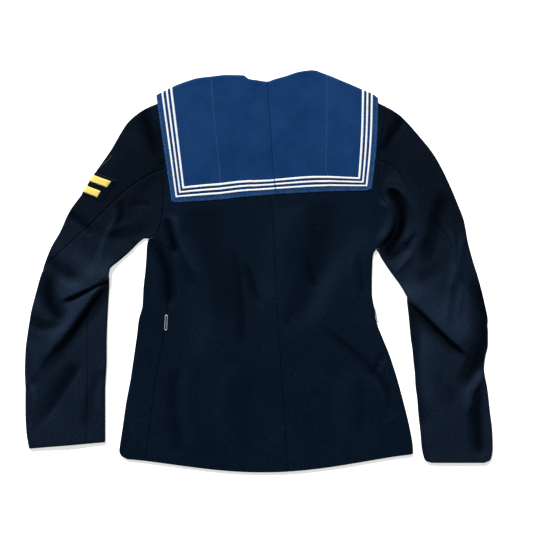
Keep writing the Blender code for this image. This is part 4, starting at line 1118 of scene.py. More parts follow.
def make_sleeves():
    """Top and under piece of both sleeves."""
    for side in ("left", "right"):
        make_sleeve_piece(f"sleeve_{side}_under", side, HIND, FOREARM)
        make_sleeve_piece(f"sleeve_{side}_top", side, FOREARM, HIND)


# Collar

COLLAR_SPAN = COLLAR_FOLD[-1][0] - COLLAR_FOLD[0][0]
NECK_START = (NECK_LEFT_X + NECK_INSET - COLLAR_FOLD[0][0]) / COLLAR_SPAN
NECK_END = (NECK_RIGHT_X - NECK_INSET - COLLAR_FOLD[0][0]) / COLLAR_SPAN


def fold_y(x):
    """Y of the collar's fold."""
    table = np.array(COLLAR_FOLD, float)
    return curve_through(table[:, 0], table[:, 1], x)


def collar_plan(across, up):
    """Plan point of the flap: across from left to right, up from its edge."""
    across, up = np.broadcast_arrays(np.asarray(across, float), np.asarray(up, float))
    edge_x = COLLAR_EDGE[0][0] + (COLLAR_EDGE[-1][0] - COLLAR_EDGE[0][0]) * across
    fold_x = COLLAR_FOLD[0][0] + COLLAR_SPAN * across
    bow = COLLAR_SIDE_BOW * np.sin(math.pi * up) * across**COLLAR_BOW_POWER
    x = edge_x + (fold_x - edge_x) * up + bow
    low = along(COLLAR_EDGE, edge_x)
    return np.stack([x, low + (fold_y(fold_x) - low) * up], axis=-1)


def collar_top(across, up):
    """Height of the flap's face, with soft waves inside the tapes."""
    across, up = np.broadcast_arrays(np.asarray(across, float), np.asarray(up, float))
    margin = smooth_step((np.minimum(across, 1 - across) - WAVE_SIDE) / WAVE_SIDE_RAMP)
    margin = margin * smooth_step((up - WAVE_LOW) / WAVE_LOW_RAMP)
    margin = margin * smooth_step((1.0 - up) / WAVE_TOP_RAMP)
    turns = WAVES_ACROSS * across + WAVES_UP * up
    wave = 0.5 + 0.5 * np.sin(2 * math.pi * turns + WAVE_START)
    plan = collar_plan(across, up)
    x, y = plan[..., 0], plan[..., 1]
    crease = sum(fold_height(fold, x, y) for fold in COLLAR_CREASES)
    small = ripple(COLLAR_RIPPLE, x, y)
    base = LAID_HEIGHT + GAP + COLLAR_CLOTH + FLAP_LIFT
    return base + COLLAR_WAVE * margin * wave + crease * smooth_step(up / CREASE_RAMP) + small * margin


def neck_blend(across):
    """0 over the shoulders and 1 over the neck, with a short ramp."""
    ramp = NECK_RAMP / COLLAR_SPAN
    return smooth_step((across - NECK_START) / ramp) * smooth_step((NECK_END - across) / ramp)


def roll_radius(across):
    """Radius of the collar's roll in plan, tighter over the neck."""
    return COLLAR_ROUND + (COLLAR_NECK_ROUND - COLLAR_ROUND) * neck_blend(across)


def flap_points(across, up, extra, thickness):
    """Outer and inner points on the flap, below its roll."""
    across, up = np.broadcast_arrays(np.asarray(across, float), np.asarray(up, float))
    spot = collar_plan(across, up).copy()
    fold, edge = collar_plan(across, np.ones_like(up)), collar_plan(across, np.zeros_like(up))
    share = (spot[..., 1] - edge[..., 1]) / (fold[..., 1] - edge[..., 1])
    spot[..., 1] -= roll_radius(across) * share
    top = collar_top(across, up) + extra
    outer = np.concatenate([spot, top[..., None]], -1)
    inner = np.concatenate([spot, (top - thickness)[..., None]], -1)
    return outer, inner


def roll_points(across, angle, extra, thickness):
    """Points on the collar's roll: 90 degrees on top and -90 below."""
    across, angle = np.broadcast_arrays(np.asarray(across, float), np.asarray(angle, float))
    radius = roll_radius(across)
    low = UNDER_TAPE + (COLLAR_NECK_INNER - UNDER_TAPE) * neck_blend(across)
    high = collar_top(across, np.ones_like(across))
    half, middle = (high - low) / 2, (high + low) / 2
    spot = collar_plan(across, np.ones_like(across))
    turn = np.radians(angle)
    outer_y = spot[..., 1] - radius + (radius + extra) * np.cos(turn)
    inner_y = outer_y - thickness * np.cos(turn)
    outer_z = middle + (half + extra) * np.sin(turn)
    inner_z = middle + (half + extra - thickness) * np.sin(turn)
    outer = np.stack([spot[..., 0], outer_y, outer_z], -1)
    return outer, np.stack([spot[..., 0], inner_y, inner_z], -1)


def end_points(across, step):
    """Underside of the collar's front ends: step 0 at the roll, 1 at the V."""
    start, _ = roll_points(across, -90.0, 0.0, COLLAR_CLOTH)
    shares = (across / NECK_START, (1 - across) / (1 - NECK_END))
    tips = []
    for share, (outside, inside) in zip(shares, (COLLAR_TIP_LEFT, COLLAR_TIP_RIGHT)):
        part = np.clip(share, 0, 1)[..., None]
        tips.append(np.array(outside) * (1 - part) + np.array(inside) * part)
    tip = np.where((across < 0.5)[..., None], *tips)
    step = np.asarray(step, float)[..., None]
    plan = start[..., :2] * (1 - step) + tip * step
    low = np.full(plan.shape[:-1] + (1,), UNDER_TAPE)
    outer = np.concatenate([plan, low], -1)
    inner = np.concatenate([plan, low + COLLAR_CLOTH - UNDER_TAPE + END_EASE], -1)
    return outer, inner


def make_collar():
    """Square collar: flap, roll, neck seam and front ends."""
    shares = np.linspace(0, 1, COLLAR_COLUMNS)
    margins = np.array(MARGIN_LINES) / COLLAR_SPAN
    neck = [NECK_START, NECK_END]
    shares = np.unique(np.concatenate([shares, margins, 1 - margins, neck]).round(6))
    ups = np.unique(np.concatenate([np.linspace(0, 1, COLLAR_ROWS), LOW_LINES]))
    outer_f, inner_f = flap_points(shares[None, :], ups[:, None], 0.0, COLLAR_CLOTH)
    angles = np.linspace(90, -90, ROLL_STEPS)[1:]
    outer_r, inner_r = roll_points(shares[None, :], angles[:, None], 0.0, COLLAR_CLOTH)
    steps = np.linspace(0, 1, COLLAR_END_ROWS + 1)[1:]
    outer_e, inner_e = end_points(*np.broadcast_arrays(shares[None, :], steps[:, None]))
    outer = np.concatenate([outer_f, outer_r, outer_e])
    inner = np.concatenate([inner_f, inner_r, inner_e])
    to_side = np.minimum(shares, 1 - shares) * FLAP_WIDTH
    to_edge = np.minimum(to_side[None, :], ups[:, None] * FLAP_DEPTH)
    soft = np.zeros(outer.shape[:2])
    soft[: len(ups)] = groove(to_edge, COLLAR_EDGE_DEPTH, COLLAR_EDGE_WIDTH)
    outer = sink(outer, inner, soft)
    middle = (shares[1:] + shares[:-1]) / 2
    keep = np.ones((outer.shape[0] - 1, outer.shape[1] - 1), bool)
    keep[len(ups) + len(angles) - 1 :][:, (middle > NECK_START) & (middle < NECK_END)] = False
    return make_shell("collar", outer, inner, COLLAR_COTTON, keep, ["collar"])


def tape_path(offset):
    """(across, up) along one long edge of a tape on the flap."""
    side, low = offset / FLAP_WIDTH, offset / FLAP_DEPTH
    uprights = np.linspace(1.0, low, TAPE_SIDE_COUNT)
    bottoms = np.linspace(side, 1 - side, TAPE_EDGE_COUNT)[1:-1]
    ends = np.ones(TAPE_SIDE_COUNT)
    across = np.concatenate([ends * side, bottoms, ends * (1 - side)])
    up = np.concatenate([uprights, np.full(len(bottoms), low), uprights[::-1]])
    return across, up


def make_tapes():
    """Three white tapes with rounded edges, on the flap and round its roll."""
    angles = np.linspace(TAPE_ROLL_END, 90, TAPE_ROLL_COUNT + 1)[:-1]
    for name, distance, width in TAPES:
        rows = []
        for share, height in TAPE_PROFILE:
            extra, thickness = GAP + TRIM + height, TAPE_BODY + height
            across, up = tape_path(distance + width * (share - 0.5))
            first = roll_points(across[0], angles, extra, thickness)
            flap = flap_points(across, up, extra, thickness)
            last = roll_points(across[-1], angles[::-1], extra, thickness)
            rows.append([np.concatenate(parts) for parts in zip(first, flap, last)])
        outer_rows, inner_rows = zip(*rows)
        make_shell(name, outer_rows, inner_rows, WHITE_TAPE, None, [name])


def make_under_tapes():
    """The same tapes along the collar's front ends, on the underside."""
    ends = (("left", 1, 0.0, COLLAR_TIP_LEFT), ("right", -1, 1.0, COLLAR_TIP_RIGHT))
    for label, sign, across, tip in ends:
        outside = np.array(tip[0], float)
        start = end_points(np.array([across]), np.array([0.0]))[0][0, :2]
        run = unit(outside - start)
        inward = np.array([-run[1], run[0]]) * sign
        length = float(np.linalg.norm(outside - start))
        for name, distance, width in TAPES:
            last = 1 - (distance + width) / TAPE_END_ROOM
            steps = np.linspace(TAPE_END_START, last, TAPE_END_COUNT)
            outer_rows, inner_rows = [], []
            for offset in (distance - width / 2, distance, distance + width / 2):
                plan = start + run * (steps * length)[:, None] + inward * offset
                low = np.full((len(plan), 1), TAPE_REST)
                outer_rows.append(np.hstack([plan, low]))
                inner_rows.append(np.hstack([plan, low + UNDER_TAPE - END_EASE]))
            make_shell(f"{name}_{label}_end", outer_rows, inner_rows, WHITE_TAPE)


# Stitches

def make_stitches(name, path, material, slot, pitch=STITCH_PITCH, length=STITCH, thread=THREAD):
    """Row of sewn stitches along points in millimetres."""
    path = np.asarray(path, float)
    steps = np.concatenate([[0.0], np.cumsum(np.linalg.norm(np.diff(path, axis=0), axis=1))])
    places = np.arange(pitch / 2, steps[-1] - pitch / 2, pitch)
    centre = points_at(places, steps, path)
    run = unit(points_at(places + STITCH_AHEAD, steps, path) - centre)
    across = unit(np.cross(run, [0, 0, 1.0]))
    upward = np.cross(across, run)
    sides = STITCH_SIDES
    points, faces = [], []
    for index in range(len(centre)):
        base = len(points)
        for shift, size, lift in STITCH_RINGS:
            middle = centre[index] + run[index] * (shift * length) + upward[index] * (lift * thread)
            for side in range(sides):
                turn = 2 * math.pi * side / sides
                arm = across[index] * math.cos(turn) + upward[index] * math.sin(turn)
                points.append(middle + arm * (thread / 2 * size))
        for ring in range(len(STITCH_RINGS) - 1):
            for side in range(sides):
                here, there = base + ring * sides, base + (ring + 1) * sides
                after = (side + 1) % sides
                faces.append((here + side, here + after, there + after, there + side))
        faces.append(tuple(base + side for side in reversed(range(sides))))
        faces.append(tuple(len(points) - sides + side for side in range(sides)))
    mesh = bpy.data.meshes.new(name)
    mesh.from_pydata((np.array(points) * MM).tolist(), [], faces)
    return finish_piece(name, mesh, material)


def collar_stitches():
    """Two rows of topstitching in the collar's margin."""
    for number, offset in enumerate(TOPSTITCH_ROWS):
        across, up = tape_path(offset)
        outer, _ = flap_points(across, up, TOPSTITCH_LIFT, THREAD_REST)
        make_stitches(f"collar_topstitch_{number + 1}", outer, NAVY_THREAD, "collar_cotton")


# Badge

EDGE_SECTIONS = np.linspace(*BADGE_SECTIONS, BADGE_SAMPLES)
EDGE_TABLE = table_at(LEFT_SLEEVE, EDGE_SECTIONS)


def badge_place(down, reach):
    """Section of the left sleeve and share of its width at a badge place."""
    middle, run = badge_frame()
    starts, ends = EDGE_TABLE[:, :2], EDGE_TABLE[:, 2:4]
    spot = points_at(down, (starts - middle) @ run, starts)
    spot = spot + np.array([-run[1], run[0]]) * reach
    across = ends - starts
    side = across[:, 0] * (spot[1] - starts[:, 1]) - across[:, 1] * (spot[0] - starts[:, 0])
    section = float(np.interp(0.0, side, EDGE_SECTIONS))
    start = points_at(section, EDGE_SECTIONS, starts)
    end = points_at(section, EDGE_SECTIONS, ends)
    return section, float(np.linalg.norm(spot - start) / np.linalg.norm(end - start))


def sleeve_points(sections, shares, layer):
    """Outer and inner points of the left sleeve, beyond its first sections."""
    values = table_at(LEFT_SLEEVE, sections)
    starts, ends = values[:, :2], values[:, 2:4]
    width = np.linalg.norm(ends - starts, axis=1)
    hole = HOLES["left"]
    even = hole[0] + (hole[-1] - hole[0]) * ((hole[0, 1] - hole[:, 1]) / np.ptp(hole[:, 1]))[:, None]
    bow = points_at(shares, STATIONS, hole - even)
    plan = starts + (ends - starts) * shares[:, None] + values[:, 4:5] * bow
    return laid_points(plan, unit(ends - starts), shares * width, layer)


def badge_line(places, extra, thickness):
    """Points at badge places (down, reach), moved out from the sleeve's face."""
    found = np.array([badge_place(down, abs(reach)) for down, reach in places])
    layer = np.where(np.array(places)[:, 1] < 0, -1, 1)
    out_points, in_points = sleeve_points(found[:, 0], found[:, 1], layer)
    outward = unit(out_points - in_points)
    return out_points + outward * (extra + thickness), out_points + outward * extra


def badge_grid(downs, reaches, extra, thickness):
    """Grid of V-shaped rows on the left sleeve."""
    rows = [
        badge_line([(down - BADGE_CLIMB * abs(r), r) for r in reaches], extra, thickness)
        for down in downs
    ]
    return np.array([row[0] for row in rows]), np.array([row[1] for row in rows])


def badge_reaches(reach, count):
    """Places round the sleeve's outer edge, closer where it turns."""
    return spread(-reach, reach, count, lambda place: closer(place, BADGE_TURN_GAIN, BADGE_TURN_WIDTH))


def pillow(count, edge):
    """Rounded profile across a strip, 0 at both sides."""
    place = np.linspace(0, 1, count)
    return np.clip(np.minimum(place, 1 - place) / edge, 0, 1) ** 0.5


def make_badge_cloth(name, downs, reaches, extra, thickness, edge, material):
    """One cloth of the badge with softly rounded edges."""
    outer, inner = badge_grid(downs, reaches, extra, thickness)
    bulge = np.minimum.outer(pillow(len(downs), edge[0]), pillow(len(reaches), edge[1]))
    outer = inner + (outer - inner) * (BADGE_FLAT + (1 - BADGE_FLAT) * bulge)[..., None]
    return make_shell(name, outer, inner, material, None, [name])


def make_badge():
    """Dark ground and two V bars, wrapped round the sleeve's outer edge."""
    make_badge_cloth(
        "badge_patch",
        np.linspace(BADGE_TOP, BADGE_BOTTOM, PATCH_ROWS),
        badge_reaches(BADGE_REACH, PATCH_COLUMNS),
        PATCH_GAP,
        PATCH_THICKNESS,
        PATCH_ROUND,
        BADGE_CLOTH,
    )
    for name, first, last, reach in CHEVRONS:
        make_badge_cloth(
            name,
            np.linspace(first, last, BAR_ROWS),
            badge_reaches(reach, BAR_COLUMNS),
            BAR_GAP,
            BAR_THICKNESS,
            BAR_ROUND,
            YELLOW_BRAID,
        )


def badge_threads():
    """Pale stitching: the patch's upper edge and the edge of a badge in front."""
    reaches = np.linspace(-PATCH_STITCH_REACH, PATCH_STITCH_REACH, PATCH_STITCH_POINTS)
    top = BADGE_TOP - PATCH_STITCH_RISE
    places = [(top - BADGE_CLIMB * abs(reach), reach) for reach in reaches]
    path, _ = badge_line(places, PATCH_STITCH_LIFT, THREAD_REST)
    make_stitches("badge_patch_stitching", path, DIM_THREAD, "badge_cloth", *PATCH_STITCHES)
    downs = np.linspace(FRONT_BADGE_EDGE[0][0], FRONT_BADGE_EDGE[-1][0], BADGE_STITCH_POINTS)
    places = list(zip(downs, along(FRONT_BADGE_EDGE, downs)))
    path, _ = badge_line(places, THREAD_REST, THREAD_REST)
    make_stitches("front_badge_stitching", path, LILAC_THREAD, "badge_cloth", *BADGE_STITCHES)


# Hooks

def make_hook(name, centre, long_axis, wide_axis):
    """Closed hairpin of round wire."""
    radius = (HOOK_WIDTH - WIRE) / 2
    straight = (HOOK_LENGTH - HOOK_WIDTH) / 2
    long_axis = unit(long_axis)
    wide_axis = np.array(wide_axis, float)
    wide_axis = unit(wide_axis - long_axis * (wide_axis @ long_axis))
    third = np.cross(long_axis, wide_axis)
    sides = HOOK_SIDES
    spine = []
    for end in (1, -1):
        for step in range(HOOK_BENDS + 1):
            turn = math.pi * step / HOOK_BENDS
            out = end * (long_axis * math.sin(turn) + wide_axis * math.cos(turn))
            spine.append((np.array(centre) + end * straight * long_axis + radius * out, out))
    points, faces = [], []
    for spot, out in spine:
        for side in range(sides):
            angle = 2 * math.pi * side / sides
            points.append(spot + WIRE / 2 * (out * math.cos(angle) + third * math.sin(angle)))
    rings = len(spine)
    for ring in range(rings):
        for side in range(sides):
            here, there = ring * sides, (ring + 1) % rings * sides
            after = (side + 1) % sides
            faces.append((here + side, here + after, there + after, there + side))
    mesh = bpy.data.meshes.new(name)
    mesh.from_pydata((np.array(points) * MM).tolist(), [], faces)
    return finish_piece(name, mesh, HOOK_WIRE, [name])


def seam_x(seam, y):
    """X of a seam of the body at the given y."""
    return float(np.interp(-y, -seam[:, 1], seam[:, 0]))


def make_hooks():
    """Hooks at the waist: flat on the left seam, on edge at the right side."""
    left_x = seam_x(LEFT_SEAM, HOOK_LEFT_Y)
    x, y = np.meshgrid(left_x + np.array(HOOK_SPOTS_X), HOOK_LEFT_Y + np.array(HOOK_SPOTS_Y))
    height = float(cloth_top(x, y).max())
    centre = (left_x, HOOK_LEFT_Y, height + WIRE / 2)
    make_hook("belt_hook_left", centre, (HOOK_SLANT, 1, 0), (1, 0, 0))
    half = HOOK_LENGTH / 2
    rise = seam_x(RIGHT_SEAM, HOOK_RIGHT_Y + half) - seam_x(RIGHT_SEAM, HOOK_RIGHT_Y - half)
    slant = rise / HOOK_LENGTH
    centre = (seam_x(RIGHT_SEAM, HOOK_RIGHT_Y) + GAP + WIRE / 2, HOOK_RIGHT_Y, LAID_HEIGHT / 2 + GAP)
    make_hook("belt_hook_right", centre, (slant, 1, 0), (0, 0, 1))


# Materials

# painted shade in hollows and painted light on ridges: colour is multiplied by this to the power of
# the relief
SHADE_GAIN = 1.14
SHOULDER_Y = 150.0         # painted sheen: the sleeves are paler below the elbow, darker towards the shoulder
ELBOW_Y = -20.0
SHOULDER_SHEEN_SHARE = 0.56
WAVE_SPAN = 0.314          # distance between the bands of a wave texture of scale 1
COLLAR_SIDE_MIDDLE = (199.5, 218)
EDGE_WEAR = 8.0
# strength of the painted shade in the centre crease
CREASE_SHADE_SHARE = 0.8
# strength of the painted shade where the centre crease crosses the tapes
TAPE_CREASE_SHADE_SHARE = 0.9
MOTTLE_SHARE = 0.9

SERGE_LOW, SERGE_HIGH = (0.0010, 0.0038, 0.0090), (0.0021, 0.0054, 0.0126)
# painted sheen: the sleeves' serge is a lighter copy of the body's serge
SLEEVE_SHEEN_LOW, SLEEVE_SHEEN_HIGH = (0.0024, 0.0058, 0.0120), (0.0050, 0.0093, 0.0190)
FUZZ_LOW, FUZZ_HIGH = (0.55, 0.55, 0.55), (1.5, 1.5, 1.5)
SERGE_LINT = (0.03, 0.05, 0.08)
SHINE_TINT = (0.6, 0.82, 1.0, 1.0)
SHEEN_TINT = (0.45, 0.6, 0.85, 1.0)
COTTON_LOW, COTTON_HIGH = (0.0026, 0.0225, 0.0840), (0.0066, 0.0360, 0.1170)
WEAVE_LOW, WEAVE_HIGH = (0.82, 0.82, 0.82), (1.22, 1.22, 1.22)
WORN_EDGE = (0.022, 0.070, 0.185)
CREASE_HIGHLIGHT = (0.030, 0.085, 0.20)
# painted light along the ridges of the left and right creases
CREASE_SHADE = (0.0015, 0.008, 0.035)
# painted shade in the hollow of the centre crease
COTTON_LINT = (0.05, 0.11, 0.22)
TAPE_LOW, TAPE_HIGH = (0.62, 0.65, 0.70), (0.77, 0.79, 0.82)
# painted shade where the centre crease crosses the tapes
TAPE_CREASE_SHADE = (0.05, 0.08, 0.16)
BRAID_LOW, BRAID_HIGH = (0.62, 0.42, 0.06), (0.95, 0.80, 0.20)
WIRE_LOW, WIRE_HIGH = (0.30, 0.33, 0.34), (0.48, 0.51, 0.52)
NAVY, LILAC, DIM = (0.030, 0.085, 0.21), (0.13, 0.13, 0.20), (0.030, 0.032, 0.060)


class Nodes:
    """Small helper that adds and links shader nodes."""

    def __init__(self, name):
        self.material = bpy.data.materials.new(name)
        self.material.use_nodes = True
        self.tree = self.material.node_tree
        self.shader = self.tree.nodes["Principled BSDF"]
        self.place = self.add("ShaderNodeTexCoord").outputs["Object"]

    def add(self, kind, **values):
        node = self.tree.nodes.new(kind)
        for key, value in values.items():
            setattr(node, key, value)
        return node

    def link(self, start, end):
        self.tree.links.new(start, end)

    def math(self, operation, first, second):
        node = self.add("ShaderNodeMath", operation=operation)
        for socket, value in zip(node.inputs, (first, second)):
            if isinstance(value, (int, float)):
                socket.default_value = value
            else:
                self.link(value, socket)
        return node.outputs[0]

    def noise(self, scale, detail, roughness):
        node = self.add("ShaderNodeTexNoise")
        node.inputs["Scale"].default_value = scale
        node.inputs["Detail"].default_value = detail
        node.inputs["Roughness"].default_value = roughness
        self.link(self.place, node.inputs["Vector"])
        return node.outputs["Fac"]

    def wave(self, period, turn, distortion=0.0, detail_scale=1.0):
        """Bands with the given period in metres, turned about Z in degrees."""
        mapping = self.add("ShaderNodeMapping")
        mapping.inputs["Rotation"].default_value = (0, 0, math.radians(turn))
        self.link(self.place, mapping.inputs["Vector"])
        node = self.add("ShaderNodeTexWave", wave_type="BANDS", bands_direction="X")
        node.inputs["Scale"].default_value = WAVE_SPAN / period
        node.inputs["Distortion"].default_value = distortion
        node.inputs["Detail Scale"].default_value = detail_scale
        self.link(mapping.outputs[0], node.inputs["Vector"])
        return node.outputs["Fac"]

    def ramp(self, factor, dark, light, start, end):
        """From dark to light as the factor goes from start to end."""
        node = self.add("ShaderNodeValToRGB")
        for element, position, colour in zip(node.color_ramp.elements, (start, end), (dark, light)):
            element.position = position
            element.color = (*colour, 1.0)
        self.link(factor, node.inputs["Fac"])
        return node.outputs["Color"]

    def map_range(self, value, start, end, low, high, kind="LINEAR"):
        node = self.add("ShaderNodeMapRange", interpolation_type=kind)
        for socket, number in zip(node.inputs[1:5], (start, end, low, high)):
            socket.default_value = number
        self.link(value, node.inputs[0])
        return node.outputs[0]

    def line(self, points, width, axis="Y"):
        """1 on a line given in millimetres, 0 farther off than the width."""
        parts = self.add("ShaderNodeSeparateXYZ")
        self.link(self.place, parts.inputs[0])
        other, run, side = ("X", 1, 0) if axis == "Y" else ("Y", 0, 1)
        away = self.math("SUBTRACT", parts.outputs[other], points[0][side] * MM)
        for first, last in zip(points[:-1], points[1:]):
            step = (last[side] - first[side]) * MM
            share = self.map_range(parts.outputs[axis], first[run] * MM, last[run] * MM, 0.0, step)
            away = self.math("SUBTRACT", away, share)
        away = self.math("ABSOLUTE", away, 0.0)
        return self.map_range(away, 0.0, width * MM, 1.0, 0.0, "SMOOTHSTEP")

    def bump(self, height, strength, distance, before=None):
        node = self.add("ShaderNodeBump")
        node.inputs["Strength"].default_value = strength
        node.inputs["Distance"].default_value = distance
        self.link(height, node.inputs["Height"])
        if before is not None:
            self.link(before, node.inputs["Normal"])
        return node.outputs["Normal"]

    def mix(self, factor, first, second, blend="MIX"):
        node = self.add("ShaderNodeMix", data_type="RGBA", blend_type=blend)
        colours = [socket for socket in node.inputs if socket.type == "RGBA"]
        factors = [socket for socket in node.inputs if socket.type == "VALUE"]
        for socket, value in ((factors[0], factor), (colours[0], first), (colours[1], second)):
            if isinstance(value, (int, float)):
                socket.default_value = value
            elif isinstance(value, tuple):
                socket.default_value = (*value, 1.0)
            else:
                self.link(value, socket)
        return [socket for socket in node.outputs if socket.type == "RGBA"][0]


def serge_material(name, base, light, shoulder=1.0):
    """Napped twill with painted light on ridges and painted shade in hollows; a shoulder share below 1
    adds painted sheen below the elbow, darker towards the shoulder.
    """
    nodes = Nodes(name)
    shade_relief = nodes.add("ShaderNodeAttribute", attribute_name="shade_relief").outputs["Fac"]
    # painted light on ridges, painted shade in hollows
    painted_shade_and_light = nodes.math("POWER", SHADE_GAIN, shade_relief)
    patches = nodes.noise(scale=7.0, detail=5.0, roughness=0.6)
    colour = nodes.ramp(patches, base, light, start=0.3, end=0.72)
    fuzz = nodes.noise(scale=430.0, detail=4.0, roughness=0.75)
    flecks = nodes.ramp(fuzz, FUZZ_LOW, FUZZ_HIGH, start=0.34, end=0.66)
    colour = nodes.mix(1.0, colour, flecks, "MULTIPLY")
    colour = nodes.mix(1.0, colour, painted_shade_and_light, "MULTIPLY")
    parts = nodes.add("ShaderNodeSeparateXYZ")
    nodes.link(nodes.place, parts.inputs[0])
    y = parts.outputs["Y"]
    # painted sheen: full colour below the elbow, darker towards the shoulder
    fade = nodes.map_range(y, SHOULDER_Y * MM, ELBOW_Y * MM, shoulder, 1.0, "SMOOTHSTEP")
    colour = nodes.mix(1.0, colour, fade, "MULTIPLY")
    specks = nodes.noise(scale=330.0, detail=1.0, roughness=0.4)
    lint = nodes.map_range(specks, start=0.775, end=0.80, low=0.0, high=0.5)
    colour = nodes.mix(lint, colour, SERGE_LINT)
    nodes.link(colour, nodes.shader.inputs["Base Color"])
    nodes.shader.inputs["Roughness"].default_value = 0.62
    # the specular level follows the painted light and shade, and fades with the painted sheen towards
    # the shoulder
    gloss = nodes.map_range(painted_shade_and_light, start=0.25, end=1.6, low=0.0, high=0.06)
    gloss = nodes.math("MULTIPLY", gloss, fade)
    nodes.link(gloss, nodes.shader.inputs["Specular IOR Level"])
    nodes.shader.inputs["Specular Tint"].default_value = SHINE_TINT
    nodes.shader.inputs["Sheen Weight"].default_value = 0.004
    nodes.shader.inputs["Sheen Roughness"].default_value = 0.5
    nodes.shader.inputs["Sheen Tint"].default_value = SHEEN_TINT
    twill = nodes.wave(period=0.0011, turn=62.0, distortion=0.6, detail_scale=2.0)
    normal = nodes.bump(twill, strength=0.25, distance=0.0003)
    nap_noise = nodes.noise(scale=420.0, detail=3.0, roughness=0.6)
    normal = nodes.bump(nap_noise, strength=0.35, distance=0.0006, before=normal)
    pucker = nodes.noise(scale=45.0, detail=3.0, roughness=0.5)
    normal = nodes.bump(pucker, strength=0.25, distance=0.0012, before=normal)
    nodes.link(normal, nodes.shader.inputs["Normal"])
    return nodes.material


def cotton_material():
    """Washed blue cotton drill, paler along its worn edges, with painted light along two pressed
    crease ridges and painted shade in the centre crease.
    """
    nodes = Nodes("collar_cotton")
    patches = nodes.noise(scale=11.0, detail=6.0, roughness=0.7)
    colour = nodes.ramp(patches, COTTON_LOW, COTTON_HIGH, start=0.32, end=0.68)
    weave = nodes.noise(scale=1000.0, detail=2.0, roughness=0.6)
    flecks = nodes.ramp(weave, WEAVE_LOW, WEAVE_HIGH, start=0.3, end=0.7)
    colour = nodes.mix(1.0, colour, flecks, "MULTIPLY")
    left = [COLLAR_FOLD[0], COLLAR_EDGE[0]]
    right = [COLLAR_FOLD[-1], COLLAR_SIDE_MIDDLE, COLLAR_EDGE[-1]]
    edge = nodes.line(left, EDGE_WEAR)
    edge = nodes.math("MAXIMUM", edge, nodes.line(right, EDGE_WEAR))
    edge = nodes.math("MAXIMUM", edge, nodes.line(COLLAR_EDGE, EDGE_WEAR, "X"))
    rough = nodes.noise(scale=240.0, detail=4.0, roughness=0.7)
    worn = nodes.map_range(rough, start=0.40, end=0.62, low=0.05, high=1.0)
    edge = nodes.math("MULTIPLY", edge, worn)
    colour = nodes.mix(edge, colour, WORN_EDGE)
    # painted light along the ridges of the left and right pressed creases, broken up by noise
    pale = nodes.line(LEFT_CREASE, width=1.3)
    pale = nodes.math("MAXIMUM", pale, nodes.line(RIGHT_CREASE, width=1.1))
    rough = nodes.noise(scale=90.0, detail=3.0, roughness=0.6)
    highlight_breakup = nodes.map_range(rough, start=0.35, end=0.65, low=0.2, high=0.8)
    colour = nodes.mix(nodes.math("MULTIPLY", pale, highlight_breakup), colour, CREASE_HIGHLIGHT)
    # painted shade in the hollow of the centre crease
    dark = nodes.math("MULTIPLY", nodes.line(CENTRE_CREASE, width=1.6), CREASE_SHADE_SHARE)
    colour = nodes.mix(dark, colour, CREASE_SHADE)
    specks = nodes.noise(scale=170.0, detail=2.0, roughness=0.5)
    lint = nodes.map_range(specks, start=0.76, end=0.80, low=0.0, high=0.6)
    colour = nodes.mix(lint, colour, COTTON_LINT)
    nodes.link(colour, nodes.shader.inputs["Base Color"])
    nodes.shader.inputs["Roughness"].default_value = 0.75
    nodes.shader.inputs["Specular IOR Level"].default_value = 0.03
    nodes.shader.inputs["Sheen Weight"].default_value = 0.02
    nodes.shader.inputs["Sheen Roughness"].default_value = 0.5
    across = nodes.wave(period=0.0009, turn=0.0)
    down = nodes.wave(period=0.0009, turn=90.0)
    cloth = nodes.math("MULTIPLY", across, down)
    normal = nodes.bump(cloth, strength=0.25, distance=0.0002)
    pucker = nodes.noise(scale=60.0, detail=4.0, roughness=0.55)
    normal = nodes.bump(pucker, strength=0.3, distance=0.0011, before=normal)
    nodes.link(normal, nodes.shader.inputs["Normal"])
    return nodes.material


def tape_material():
    """White woven tape with fine crosswise ribs and painted shade where the centre crease crosses it.
    """
    nodes = Nodes("white_tape")
    patches = nodes.noise(scale=60.0, detail=3.0, roughness=0.6)
    colour = nodes.ramp(patches, TAPE_LOW, TAPE_HIGH, start=0.3, end=0.7)
    # painted shade where the centre crease's hollow crosses the tape
    crease = nodes.math("MULTIPLY", nodes.line(CENTRE_CREASE, width=2.0), TAPE_CREASE_SHADE_SHARE)
    colour = nodes.mix(crease, colour, TAPE_CREASE_SHADE)
    nodes.link(colour, nodes.shader.inputs["Base Color"])
    nodes.shader.inputs["Roughness"].default_value = 0.8
    across = nodes.wave(period=0.0008, turn=0.0)
    down = nodes.wave(period=0.0008, turn=90.0)
    ribs = nodes.math("MAXIMUM", across, down)
    normal = nodes.bump(ribs, strength=0.4, distance=0.0002)
    nodes.link(normal, nodes.shader.inputs["Normal"])
    return nodes.material


def braid_material():
    """Yellow embroidered bar: close threads across its length."""
    nodes = Nodes("yellow_braid")
    threads = nodes.wave(period=0.0009, turn=20.0, distortion=0.8, detail_scale=2.0)
    colour = nodes.ramp(threads, BRAID_LOW, BRAID_HIGH, start=0.2, end=0.7)
    nodes.link(colour, nodes.shader.inputs["Base Color"])
    nodes.shader.inputs["Roughness"].default_value = 0.55
    normal = nodes.bump(threads, strength=0.5, distance=0.0004)
    nodes.link(normal, nodes.shader.inputs["Normal"])
    return nodes.material


def wire_material():
    """Dull grey wire."""
    nodes = Nodes("hook_wire")
    patches = nodes.noise(scale=300.0, detail=3.0, roughness=0.6)
    colour = nodes.ramp(patches, WIRE_LOW, WIRE_HIGH, start=0.3, end=0.7)
    nodes.link(colour, nodes.shader.inputs["Base Color"])
    nodes.shader.inputs["Metallic"].default_value = 0.6
    nodes.shader.inputs["Roughness"].default_value = 0.42
    return nodes.material


